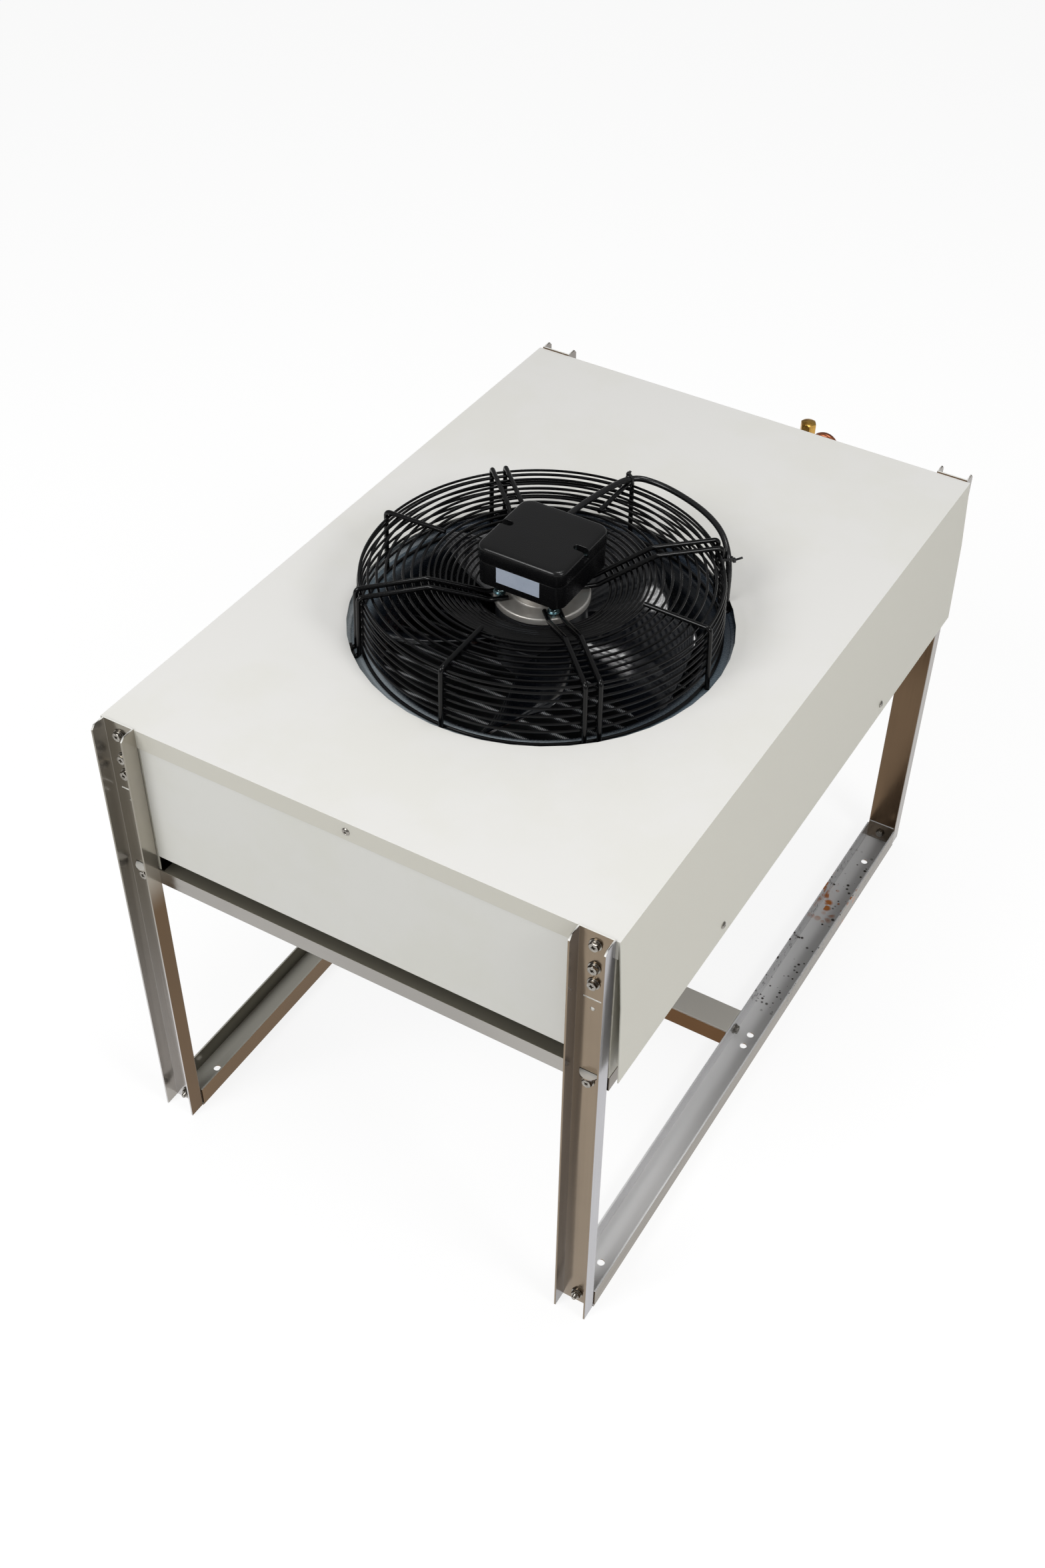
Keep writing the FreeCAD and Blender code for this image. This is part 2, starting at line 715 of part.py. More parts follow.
def build_crossbar(end, sign, outward):
    """Angle between two legs below an end panel, its ledge turned inward."""
    name = "Bar" + end.title()
    half = "case_length / 2"
    y = f"-{half}" if sign < 0 else f"{half} - leg_sheet"
    ledge_y = f"-{half}" if sign < 0 else f"{half} - bar_ledge"
    wide = "(leg_x + leg_width / 2 - panel_gap)"
    inner = "(frame_x + frame_lap - channel_flange)"
    parts = [block(name + "Face", (f"2 * {wide}", "leg_sheet", "bar_height"),
                   (f"-{wide}", y, "bar_bottom")),
             block(name + "Ledge", (f"2 * {inner}", "bar_ledge", "leg_sheet"),
                   (f"-{inner}", ledge_y, "bar_bottom + bar_height - leg_sheet"))]
    tools = [rod(name + "Hole" + side, "bolt_radius + hole_play", "4 * leg_sheet",
                 (f"{sign_x} * leg_x", f"{sign} * ({half} - 3 * leg_sheet)", "bar_bolt_z"),
                 outward) for side, sign_x, out_x in SIDES]
    node(cut(name, join(name + "Whole", *parts), *tools), end + "_crossbar")


def build_side_frame(side, sign):
    """Galvanised side of the inner frame: an upright sheet whose ends turn in behind the
    legs, standing on a channel that carries the coil."""
    name = "Frame" + side.title()
    half = "case_length / 2"
    low = "bar_bottom + bar_height"
    high = "case_top - cover_sheet"
    x = "frame_x - frame_sheet" if sign > 0 else "-frame_x"
    turn_x = "leg_x - leg_width / 2 - panel_gap" if sign > 0 else "-frame_x"
    length = "case_length - 2 * cover_sheet"
    parts = [block(name + "Web", ("frame_sheet", length, f"{high} - ({low})"),
                   (x, f"cover_sheet - {half}", low))]
    tools = []
    for end, sign_y, out_y in ENDS:
        y = f"cover_sheet - {half}" if sign_y < 0 else f"{half} - cover_sheet - frame_sheet"
        parts.append(block(f"{name}End{end}",
                           ("frame_x - leg_x + leg_width / 2 + panel_gap", "frame_sheet",
                            f"{high} - ({low})"), (turn_x, y, low)))
        for i, drop in enumerate(("leg_bolt_drop", "leg_bolt_middle", "leg_bolt_low")):
            tools.append(rod(f"{name}Hole{end}{i}", "bolt_radius + hole_play",
                             "6 * frame_sheet",
                             (f"{sign} * leg_x", f"{sign_y} * ({half} - 4 * frame_sheet)",
                              "case_top - " + drop), out_y))
        tools.append(rod(f"{name}ScrewHole{end}", "screw_radius + hole_play",
                         "4 * frame_sheet",
                         (f"{sign} * (frame_x - 2 * frame_sheet)", f"{sign_y} * side_screw_y",
                          "case_top - side_depth + side_screw_rise"),
                         "+X" if sign > 0 else "-X"))
    node(cut(name, join(name + "Whole", *parts), *tools), "side_frame_" + side)
    bottom = "bar_bottom"
    outer = "frame_x + frame_lap"
    flange_x = f"{outer} - channel_flange" if sign > 0 else f"-({outer})"
    web_x = f"{outer} - frame_sheet" if sign > 0 else f"-({outer})"
    y = f"leg_sheet - {half}"
    long = "case_length - 2 * leg_sheet"
    channel = join(name + "Channel",
                   block(name + "ChannelWeb", ("frame_sheet", long, "bar_height"),
                         (web_x, y, bottom)),
                   block(name + "ChannelLow", ("channel_flange", long, "frame_sheet"),
                         (flange_x, y, bottom)),
                   block(name + "ChannelHigh", ("channel_flange", long, "frame_sheet"),
                         (flange_x, y, f"{bottom} + bar_height - frame_sheet")))
    node(channel, "coil_channel_" + side)


def build_fan_beam(end, sign):
    """Galvanised angle across the casing under an edge of the fan's plate."""
    name = "Beam" + end.title()
    inner = "frame_x - frame_sheet"
    top = "case_top - cover_sheet - ring_sheet"
    edge = f"fan_y + {sign} * beam_half"
    web_y = f"{edge} - beam_depth / 2" if sign < 0 else f"{edge} + beam_depth / 2 - frame_sheet"
    beam = join(name + "Whole",
                block(name + "Top", (f"2 * ({inner})", "beam_depth", "frame_sheet"),
                      (f"-({inner})", f"{edge} - beam_depth / 2", f"{top} - frame_sheet")),
                block(name + "Web", (f"2 * ({inner})", "frame_sheet", "beam_depth"),
                      (f"-({inner})", web_y, f"{top} - beam_depth")))
    tools = [rod(name + "Hole" + side, "screw_radius + hole_play", "4 * frame_sheet",
                 (f"fan_x + {sign_x} * beam_half", edge, f"{top} - 3 * frame_sheet"), "+Z")
             for side, sign_x, out_x in SIDES]
    node(cut(name, beam, *tools), "fan_beam_" + end)


def tube_spots():
    """Where each circuit's tubes lie, in the order that the refrigerant passes them: along
    the top row, back along the next and along the last, in (Y, Z)."""
    columns, rows, circuits = (int(number(size)) for size in ("columns", "rows", "circuits"))
    per = columns // circuits
    pitch, rise = number("column_pitch"), number("row_pitch")
    base = number("bar_bottom + bar_height + coil_clearance + fin_height / 2")
    found = []
    for circuit in range(circuits):
        passes = []
        for row in range(rows):
            order = range(per) if row % 2 == 0 else reversed(range(per))
            for column in order:
                y = (circuit * per + column - (columns - 1) / 2) * pitch
                passes.append((y, base + ((rows - 1) / 2 - row) * rise))
        found.append(passes)
    return found


def build_coil():
    """Fin pack, end plates, straight tubes and the return bends between them."""
    half, plate = number("coil_half"), number("end_plate_sheet")
    radius, wall = number("tube_radius"), number("tube_wall")
    reach = half + plate + number("tube_stub")
    deep = number("columns * column_pitch")
    low = number("bar_bottom + bar_height + coil_clearance")
    tall = number("fin_height")
    circuits = tube_spots()
    bores = Part.makeCompound([
        Part.makeCylinder(radius, 2 * reach, Vector(-reach, y, z), X_AXIS)
        for passes in circuits for y, z in passes])
    fins = Part.makeBox(2 * half, deep, tall, Vector(-half, -deep / 2, low))
    node(made("FinPack", fins.cut(bores)), "fin_pack")
    foot = number("bar_bottom + bar_height")
    rise = low + tall + number("plate_rise") - foot
    plates = [Part.makeBox(plate, deep, rise, Vector(x, -deep / 2, foot)).cut(bores)
              for x in (-half - plate, half)]
    node(made("EndPlates", Part.makeCompound(plates)), "coil_end_plates")
    tubes = [tube(radius, wall, Vector(-reach, y, z), X_AXIS, 2 * reach)
             for passes in circuits for y, z in passes]
    node(made("CoilTubes", Part.makeCompound(tubes)), "coil_tubes")
    bends = []
    for passes in circuits:
        for i, (here, there) in enumerate(zip(passes, passes[1:])):
            x = -reach if i % 2 == 0 else reach
            a, b = Vector(x, *here), Vector(x, *there)
            turn = (b - a).cross(X_AXIS).normalize() * (1 if x > 0 else -1)
            ring = Part.Face(Part.Wire(Part.makeCircle(radius, a, X_AXIS)))
            bore = Part.Face(Part.Wire(Part.makeCircle(radius - wall, a, X_AXIS)))
            bends.append(ring.cut(bore).revolve((a + b) * 0.5, turn, -180))
    node(made("ReturnBends", Part.makeCompound(bends)), "return_bends")


def header_shapes(radius, x, z, feeder_ends):
    """Outer and inner shape of a header along the coil's right side with its brazed feeders."""
    wall = number("pipe_wall")
    feed, feed_wall = number("tube_radius"), number("tube_wall")
    reach = number("coil_half + end_plate_sheet + tube_stub")
    front = min(y for y, height in feeder_ends) - 2 * radius
    back = number("header_reach")
    outer = Part.makeCylinder(radius, back - front, Vector(x, front, z), Y_AXIS)
    inner = Part.makeCylinder(radius - wall, back - front - 2 * wall,
                              Vector(x, front + wall, z), Y_AXIS)
    for y, height in feeder_ends:
        route = path([Vector(reach, y, height), Vector(x, y, height), Vector(x, y, z)],
                     [0.98 * (x - reach)])
        outer = outer.fuse(swept(route, feed))
        inner = inner.fuse(swept(route, feed - feed_wall))
    return outer, inner


def build_pipes():
    """Gas and liquid headers and the pipes from them to the back of the casing; the panel's
    grommets are returned."""
    circuits = tube_spots()
    radius, wall = number("gas_radius"), number("pipe_wall")
    x, z = number("gas_header_x"), number("gas_header_z")
    outer, inner = header_shapes(number("gas_header_radius"), x, z,
                                 [passes[0] for passes in circuits])
    node(made("GasHeader", outer.cut(inner)), "gas_header")
    back = number("header_reach")
    run_y, exit_z = number("header_run_gas_y"), number("gas_exit_z")
    valve = Vector(number("valve_x"), number("valve_y - valve_block / 2"), exit_z)
    bend = number("gas_bend")
    points = [Vector(x, back, z), Vector(x, run_y, z), Vector(valve.x, run_y, z),
              Vector(valve.x, run_y, exit_z), valve]
    node(made("GasPipe", pipe(points, [min(bend, run_y - back), bend, bend], radius, wall)),
         "gas_pipe")

    radius = number("liquid_radius")
    x, z = number("liquid_header_x"), number("liquid_header_z")
    outer, inner = header_shapes(number("liquid_header_radius"), x, z,
                                 [passes[-1] for passes in circuits])
    node(made("LiquidHeader", outer.cut(inner)), "liquid_header")
    run_y, exit_z = number("header_run_liquid_y"), number("liquid_exit_z")
    exit_x, exit_y = number("liquid_exit_x"), number("liquid_exit_y")
    top, span = number("neck_top"), number("neck_span")
    bend = number("liquid_bend")
    points = [Vector(x, back, z), Vector(x, run_y, z), Vector(exit_x, run_y, z),
              Vector(exit_x, run_y, exit_z), Vector(exit_x, exit_y, exit_z),
              Vector(exit_x, exit_y, top), Vector(exit_x + span, exit_y, top),
              Vector(exit_x + span, exit_y, number("pipe_end_z"))]
    bends = [min(bend, run_y - back), bend, bend, bend, span / 2 - 0.01, span / 2 - 0.01]
    node(made("LiquidPipe", pipe(points, bends, radius, wall)), "liquid_pipe")

    length, rubber = number("grommet_length"), number("grommet_wall")
    lip, lip_length = number("grommet_lip"), number("grommet_lip_length")
    panel = number("case_length / 2 - 1.5 * cover_sheet")
    sheet_panel = number("cover_sheet")
    grommets = []
    for x, z, r in ((valve.x, number("gas_exit_z"), number("gas_radius")),
                    (exit_x, exit_z, number("liquid_radius"))):
        body = tube(r + rubber, rubber, Vector(x, panel - length / 2, z), Y_AXIS, length)
        for y in (panel - sheet_panel / 2 - lip_length, panel + sheet_panel / 2):
            body = body.fuse(tube(r + rubber + lip, rubber + lip, Vector(x, y, z), Y_AXIS,
                                  lip_length))
        grommets.append(body)
    return grommets


def build_valve():
    """Brass service valve on the gas pipe: body with a neck, a stem and a screwed cap."""
    x, y = number("valve_x"), number("valve_y")
    size, tall = number("valve_block"), number("valve_block_height")
    neck, neck_top = number("valve_neck"), number("valve_neck_top")
    stem, play = number("valve_stem"), number("run_clearance")
    top = number("gas_exit_z + valve_block_rise")
    socket = number("socket_height")
    collar, collar_height = number("valve_collar"), number("valve_collar_height")
    block_body = Part.makeBox(size, size, tall, Vector(x - size / 2, y - size / 2, top - tall))
    upright = [edge for edge in block_body.Edges if abs(edge.tangentAt(0).z) > 0.9]
    block_body = block_body.makeFillet(number("valve_block_corner"), upright)
    body = block_body.fuse(Part.makeCylinder(neck, neck_top - top, Vector(x, y, top)))
    body = body.fuse(Part.makeCylinder(neck + collar, collar_height, Vector(x, y, top)))
    body = body.fuse(Part.makeCylinder(number("gas_radius + socket_wall"), socket,
                                       Vector(x, y, top - tall - socket)))
    port = Vector(x, y + size / 2, top - number("port_drop"))
    port_length, port_cap = number("port_length"), number("port_cap")
    body = body.fuse(Part.makeCylinder(number("port_radius"), port_length, port, Y_AXIS))
    body = body.fuse(hexagon(number("port_flats"), port_cap,
                             port + Y_AXIS * (port_length - port_cap / 2), Y_AXIS))
    gas_z, bore_radius = number("gas_exit_z"), number("gas_radius - pipe_wall")
    bore = Part.makeCylinder(stem + play, neck_top, Vector(x, y, gas_z))
    passage = Part.makeCylinder(bore_radius, gas_z, Vector(x, y, 0))
    inlet = Part.makeCylinder(bore_radius, size / 2, Vector(x, y - size / 2, gas_z), Y_AXIS)
    node(made("ValveBody", body.cut(bore).cut(passage).cut(inlet)), "service_valve_body")

    foot = number("gas_exit_z + gas_radius + valve_seat_gap")
    key_z = neck_top + number("valve_stem_rise")
    spindle = Part.makeCylinder(stem, key_z - foot, Vector(x, y, foot))
    flat, key_height = number("valve_key_flats"), number("valve_key_height")
    key = Part.makeBox(flat, flat, key_height, Vector(x - flat / 2, y - flat / 2, key_z))
    node(made("ValveStem", spindle.fuse(key)), "service_valve_stem")

    low, high = number("valve_cap_bottom"), number("valve_cap_top")
    dome = number("valve_cap_dome")
    cap = hexagon(number("valve_cap_flats"), high - low, Vector(x, y, low), Z_AXIS)
    crown = Part.makeSphere(dome, Vector(x, y, high - dome))
    skirt = Part.makeCylinder(2 * neck, (high - low) / 2, Vector(x, y, low))
    hollow = Part.makeCylinder(neck + play, high - number("valve_cap_wall") - low,
                               Vector(x, y, low))
    node(made("ValveCap", cap.common(crown.fuse(skirt)).cut(hollow)), "service_valve_cap")

    end = number("pipe_end_z")
    stub_top = top - tall - socket
    node(made("GasStub", tube(number("gas_radius"), number("pipe_wall"), Vector(x, y, end),
                              Z_AXIS, stub_top - end)), "gas_inlet_stub")


def build_wall_ring():
    """Square plate under the cover with a dished seat for the guard and a rounded mouth."""
    owner = new_body("WallRingDish", "fan_x", "fan_y")
    top = "case_top - cover_sheet"
    seat, wall, throat = "seat_radius", "ring_sheet", "throat_radius"
    mouth = f"{throat} + mouth_radius"
    outline = [
        (f"{seat} + seat_lap", f"{top} - {wall}"), (f"{seat} + seat_lap", top), (seat, top),
        (seat, "seat_z"),
        (mouth, "seat_z", "mouth_radius", 1), (throat, "seat_z - mouth_radius"),
        (throat, "throat_bottom"), (f"{throat} + {wall}", "throat_bottom"),
        (f"{throat} + {wall}", "seat_z - mouth_radius", f"mouth_radius - {wall}", -1),
        (mouth, f"seat_z - {wall}"), (f"{seat} + {wall}", f"seat_z - {wall}"),
        (f"{seat} + {wall}", f"{top} - {wall}")]
    revolve(owner, sketch(owner, "WallRingOutline", "XZ_Plane", outline))
    plate = block("WallRingPlate", ("2 * plate_half", "2 * plate_half", wall),
                  ("fan_x - plate_half", "fan_y - plate_half", f"{top} - {wall}"))
    window = rod("WallRingWindow", f"{seat} + seat_lap / 2", f"3 * {wall}",
                 ("fan_x", "fan_y", f"{top} - 2 * {wall}"))
    tools = []
    for i in range(4):
        angle = math.radians(45 + 90 * i)
        tools.append(rod(f"ClipHole{i}", "screw_radius + hole_play", "4 * ring_sheet",
                         (f"fan_x + clip_radius * {math.cos(angle):.6f}",
                          f"fan_y + clip_radius * {math.sin(angle):.6f}",
                          "seat_z - 3 * ring_sheet")))
    tools.append(rod("CableHole", "cable_radius + grommet_wall", "4 * ring_sheet",
                     ("fan_x + cable_drop_radius * cos(cable_drop_angle * 1 deg)",
                      "fan_y + cable_drop_radius * sin(cable_drop_angle * 1 deg)",
                      "seat_z - 3 * ring_sheet")))
    for end, sign_y, out_y in ENDS:
        for side, sign_x, out_x in SIDES:
            tools.append(rod(f"PlateHole{end}{side}", "screw_radius + hole_play",
                             "4 * ring_sheet", (f"fan_x + {sign_x} * beam_half",
                                                f"fan_y + {sign_y} * beam_half",
                                                f"{top} - 3 * {wall}")))
    whole = join("WallRingWhole", cut("WallRingFrame", plate, window), owner)
    node(cut("WallRing", whole, *tools), "fan_wall_ring")


def build_guard():
    """Wire guard: rings, four pairs of arms that carry the motor, four single ribs and the
    clips that hold the arms' feet."""
    fan = Vector(number("fan_x"), number("fan_y"), 0)
    wire, arm = number("wire_radius"), number("arm_radius")
    top, rim, foot_r = number("guard_top"), number("guard_radius"), number("guard_foot")
    knee, knee_z = number("knee_radius"), number("guard_top + knee_rise")
    seat = number("seat_z")
    play = number("weld_play")
    inner_z = number("motor_face") + arm + play
    inner_r = 1.12 * number("motor_radius")
    step = wire + arm + play

    def ring(radius, z, thick=wire):
        return Part.makeTorus(radius, thick, fan + Vector(0, 0, z), Z_AXIS)

    radius = rim - step - wire / 2
    pitch = number("ring_pitch")
    rise = (knee_z - top) / (rim - knee)
    top_rings, slope_rings, side_rings = [], [], []
    while radius > knee:
        top_rings.append(ring(radius, top + rise * (rim - radius) - step))
        radius -= pitch
    slope = (knee_z - inner_z) / (knee - inner_r)
    for i in range(int(number("slope_rings"))):
        radius = knee - number("slope_start + slope_pitch * " + str(i))
        slope_rings.append(ring(radius, knee_z - (knee - radius) * slope
                                - step * math.hypot(1, slope)))
    for i in range(int(number("side_rings"))):
        z = top - step - number("side_start + side_pitch * " + str(i))
        side_rings.append(ring(rim + (foot_r - rim) * (top - z) / (top - seat) - step, z))
    base = number("base_wire_radius")
    side_rings.append(ring(foot_r - arm - base - play, seat + base + play, base))
    for label, rings in (("top", top_rings), ("slope", slope_rings), ("side", side_rings)):
        node(made("GuardRings" + label.title(), Part.makeCompound(rings)),
             f"guard_{label}_rings")

    foot_z = seat + arm + play
    clip_r = number("clip_radius")
    length = number("clip_length")
    profile = [(clip_r + length / 2, foot_z), (foot_r, foot_z), (rim, top), (knee, knee_z),
               (inner_r, inner_z), (0.75 * number("motor_radius"), inner_z)]
    knee_bend = number("knee_bend")
    bends = [number("foot_bend"), 2 * arm, knee_bend, knee_bend]
    arms, ribs = [], []
    for i in range(4):
        for off in (-0.5, 0.5):
            shift = Vector(0, off * number("arm_spacing"), 0)
            route = path([Vector(r, 0, z) + shift for r, z in profile], bends)
            arms.append(swept(route, arm))
            arms[-1].rotate(Vector(), Z_AXIS, 45 + 90 * i)
            arms[-1].translate(fan)
        rib = [(foot_r, seat + 2 * play), (rim, top), (knee - wire, knee_z)]
        ribs.append(swept(path([Vector(r, 0, z) for r, z in rib], [2 * arm]), arm))
        ribs[-1].rotate(Vector(), Z_AXIS, 90 * i)
        ribs[-1].translate(fan)
    node(made("GuardArms", Part.makeCompound(arms)), "guard_double_arms")
    node(made("GuardRibs", Part.makeCompound(ribs)), "guard_single_ribs")

    clips, screws = [], []
    spacing, clip_sheet = number("arm_spacing"), number("clip_sheet")
    clip_z = foot_z + arm + play
    clip_top = clip_z + clip_sheet
    for i in range(4):
        turn = Rotation(Z_AXIS, 45 + 90 * i)
        plate = Part.makeBox(length, spacing + 2 * arm, clip_sheet,
                             Vector(clip_r - length / 2, -spacing / 2 - arm, clip_z))
        plate = plate.cut(Part.makeCylinder(number("screw_radius + hole_play"),
                                            3 * clip_sheet, Vector(clip_r, 0, clip_z - clip_sheet)))
        screw = round_screw(Vector(clip_r, 0, clip_top), Z_AXIS,
                            clip_top + 2 * clip_sheet - seat)
        for item, shapes in ((plate, clips), (screw, screws)):
            item.Placement = FreeCAD.Placement(fan, turn).multiply(item.Placement)
            shapes.append(item)
    node(made("GuardClips", Part.makeCompound(clips + screws)), "guard_clips")


def build_motor():
    """External-rotor motor: fixed flange with its bearing tube, stator and windings inside a
    rotor cup that turns on a shaft in two bearings."""
    face, bore = "motor_face", "bearing_radius"
    cheek = f"{face} - motor_cheek"
    sleeve = f"{bore} + bearing_tube_wall"
    low = "stator_bottom - bearing_step"
    cover = "rotor_radius - 2 * rotor_edge"
    node(turned_body("MotorFlange", [
        ("throat_bore", "box_bottom"), ("throat_bore", cheek), (bore, cheek), (bore, low),
        (sleeve, low), (sleeve, f"{cheek} - cage_rise"), (cover, f"{cheek} - cage_rise"),
        (cover, cheek), ("motor_radius", cheek), ("motor_radius", face),
        (f"2 * ({sleeve})", face), (f"2 * ({sleeve}) - rotor_edge", "box_bottom")]),
         "motor_flange")
    inner = "rotor_radius - rotor_wall"
    core = f"{inner} - cage_wall - air_gap"
    high = "stator_bottom + stator_height"
    node(turned_body("StatorCore", rectangle(sleeve, "stator_bottom", core, high)), "stator_core")
    rings = []
    for name, z in (("WindingLow", "stator_bottom - winding_height"), ("WindingHigh", high)):
        rings.append(turned_body(name, rectangle(
            f"{sleeve} + winding_inset", z, f"{core} - winding_inset", f"{z} + winding_height")))
    group("Windings", "stator_windings", *rings)
    node(turned_body("RotorCage", rectangle(
        f"{inner} - cage_wall", "stator_bottom - cage_rise", inner, f"{high} + cage_rise")),
         "rotor_cage")
    foot, edge = "rotor_bottom", "rotor_edge"
    hub_top = f"{foot} + rotor_hub_height"
    node(turned_body("RotorCup", [
        ("shaft_radius", foot), (f"rotor_radius - {edge}", foot),
        ("rotor_radius", f"{foot} + {edge}"), ("rotor_radius", f"{cheek} - rotor_gap"),
        (inner, f"{cheek} - rotor_gap"), (inner, f"{foot} + rotor_wall"),
        ("rotor_hub", f"{foot} + rotor_wall"), ("rotor_hub", hub_top),
        ("shaft_radius", hub_top)]), "rotor_cup")
    node(rod("Shaft", "shaft_radius", f"{cheek} - cage_rise - {foot}",
             ("fan_x", "fan_y", foot)), "rotor_shaft")
    bearings = [turned_body(name, rectangle("shaft_radius + run_clearance", z, bore,
                                            f"{z} + bearing_width"))
                for name, z in (("BearingUpper", f"{cheek} - 2 * cage_rise - bearing_width"),
                                ("BearingLower", f"{low} + cage_rise"))]
    group("Bearings", "motor_bearings", *bearings)


def build_blades():
    """Swept fan blades trimmed to the rotor and to the throat."""
    fan = Vector(number("fan_x"), number("fan_y"), 0)
    root = number("rotor_radius")
    tip = number("throat_radius - tip_gap")
    middle, thick = number("blade_z"), number("blade_sheet")
    count = int(number("blade_count"))
    lap = number("rotor_edge")
    stations = 7
    wires = []
    for k in range(stations):
        share = k / (stations - 1)
        radius = root - lap + (tip + 3 * lap - root + lap) * share
        chord = number("root_chord") + number("tip_chord - root_chord") * share ** 0.8
        pitch = math.radians(number("root_pitch_angle")
                             + number("tip_pitch_angle - root_pitch_angle") * share)
        sweep = math.radians(number("blade_sweep_angle") * share ** 1.7)
        out = Vector(math.cos(sweep), math.sin(sweep), 0)
        round_way = Vector(-out.y, out.x, 0)
        along = round_way * math.cos(pitch) + Z_AXIS * math.sin(pitch)
        up = round_way * -math.sin(pitch) + Z_AXIS * math.cos(pitch)
        centre = out * radius + Z_AXIS * middle
        camber = chord * number("blade_camber")
        low = [centre + along * (chord * s) + up * (camber * b)
               for s, b in ((-0.5, 0), (0, 1), (0.5, 0))]
        high = [spot + up * thick for spot in low]
        wires.append(Part.Wire([
            Part.Arc(*low).toShape(), Part.LineSegment(low[2], high[2]).toShape(),
            Part.Arc(*reversed(high)).toShape(), Part.LineSegment(high[0], low[0]).toShape()]))
    blade = Part.makeLoft(wires, True, False)
    foot, tall = Vector(0, 0, middle - tip), 2 * tip
    trim = Part.makeCylinder(tip, tall, foot).cut(Part.makeCylinder(root, tall, foot))
    blade = blade.common(trim)
    blades = []
    for k in range(count):
        copy = blade.copy()
        copy.rotate(Vector(), Z_AXIS, number("blade_rest_angle") + 360 / count * k)
        copy.translate(fan)
        blades.append(copy)
    node(made("Blades", Part.makeCompound(blades)), "fan_blades")


def rounded_square(side, radius):
    """A square with round corners about the fan's axis, for a pad."""
    half = f"({side}) / 2"
    near = f"({half} - ({radius}))"
    return [(near, f"-{half}", radius, 1), (half, f"-{near}"), (half, near, radius, 1),
            (near, half), (f"-{near}", half, radius, 1), (f"-{half}", near),
            (f"-{half}", f"-{near}", radius, 1), (f"-{near}", f"-{half}")]


def build_terminal_box():
    """Terminal box over the motor with a notched lid, a blank label plate, a terminal block
    and the motor's capacitor; the lid's two screws are returned."""
    seam = "box_top - lid_height"
    owner = new_body("BoxShell", "fan_x", "fan_y")
    outer = sketch(owner, "BoxOutline", "XY_Plane", rounded_square("box_side", "box_corner"),
                   "box_bottom")
    pad(owner, outer, f"{seam} - box_bottom")
    hollow = sketch(owner, "BoxHollow", "XY_Plane",
                    rounded_square("box_side - 2 * box_wall", "box_corner - box_wall"),
                    "box_bottom + box_wall")
    pocket(owner, hollow, f"{seam} - box_bottom", turned=True)
    throat = rod("BoxThroat", "throat_bore", "3 * box_wall", ("fan_x", "fan_y", "box_bottom - box_wall"))
    gland = rod("BoxGlandHole", "gland_radius", "4 * box_wall",
                ("fan_x + gland_x", "fan_y + box_side / 2 - 3 * box_wall", "gland_z"), "+Y")
    side = "box_side + 2 * lid_lip"
    posts, drills = [], []
    for name, sign, out_x in SIDES:
        x = f"fan_x + {sign} * (box_side - box_wall) / 2 - " + ("0" if sign < 0 else "post_side")
        posts.append(block("ScrewPost" + name, ("post_side", "post_side",
                                                f"{seam} - box_bottom - box_wall / 2"),
                           (x, "fan_y - post_side / 2", "box_bottom + box_wall / 2")))
        drills.append(rod("PostDrill" + name, "screw_radius", "lid_height",
                          (f"fan_x + {sign} * ({side} - notch_reach) / 2", "fan_y",
                           f"{seam} - lid_height")))
    node(cut("Box", join("BoxWhole", owner, *posts), throat, gland, *drills), "terminal_box")

    owner = new_body("LidShell", "fan_x", "fan_y")
    whole = sketch(owner, "LidOutline", "XY_Plane",
                   rounded_square(side, "box_corner + lid_lip"), seam)
    pad(owner, whole, "lid_height")
    hollow = sketch(owner, "LidHollow", "XY_Plane",
                    rounded_square("box_side - 2 * box_wall", "box_corner - box_wall"), seam)
    pocket(owner, hollow, "lid_height - box_wall", turned=True)
    notches, screws = [], []
    for name, sign, out_x in SIDES:
        notch = "notch_reach"
        x = f"fan_x + {sign} * ({side}) / 2 - " + ("lid_lip" if sign < 0 else notch)
        notches.append(block("LidNotch" + name, (f"{notch} + lid_lip", "notch_width",
                                                 "lid_height - 2 * box_wall"),
                             (x, "fan_y - notch_width / 2", f"{seam} + 2 * box_wall")))
        seat = Vector(number(f"fan_x + {sign} * ({side} - {notch}) / 2"), number("fan_y"),
                      number(f"{seam} + 2 * box_wall"))
        screws.append(round_screw(seat, Z_AXIS, number("lid_height")))
    bosses = []
    for name, sign, out_x in SIDES:
        x = f"fan_x + {sign} * ({side}) / 2 - " + ("0" if sign < 0 else "(notch_reach + box_wall)")
        bosses.append(block("LidBoss" + name, ("notch_reach + box_wall",
                                               "notch_width + 2 * box_wall", "lid_height"),
                            (x, "fan_y - notch_width / 2 - box_wall", seam)))
    drills = [rod("LidDrill" + name, "screw_radius", "2 * lid_height",
                  (f"fan_x + {sign} * ({side} - notch_reach) / 2", "fan_y",
                   f"{seam} - lid_height")) for name, sign, out_x in SIDES]
    node(cut("Lid", join("LidWhole", owner, *bosses), *notches, *drills), "terminal_box_lid")

    node(block("Label", ("label_width", "label_sheet", "label_height"),
               ("fan_x - label_width / 2", "fan_y - box_side / 2 - label_sheet",
                f"{seam} - label_drop - label_height")), "blank_label")
    floor = "box_bottom + box_wall"
    node(block("TerminalBlock", ("block_length", "block_width", "block_height"),
               ("fan_x - block_length / 2", "fan_y - block_y - block_width / 2", floor)),
         "terminal_block")
    node(rod("Capacitor", "capacitor_radius", "capacitor_length",
             ("fan_x - capacitor_length / 2", "fan_y + capacitor_y",
              f"{floor} + capacitor_radius"), "+X"), "motor_capacitor")
    return screws


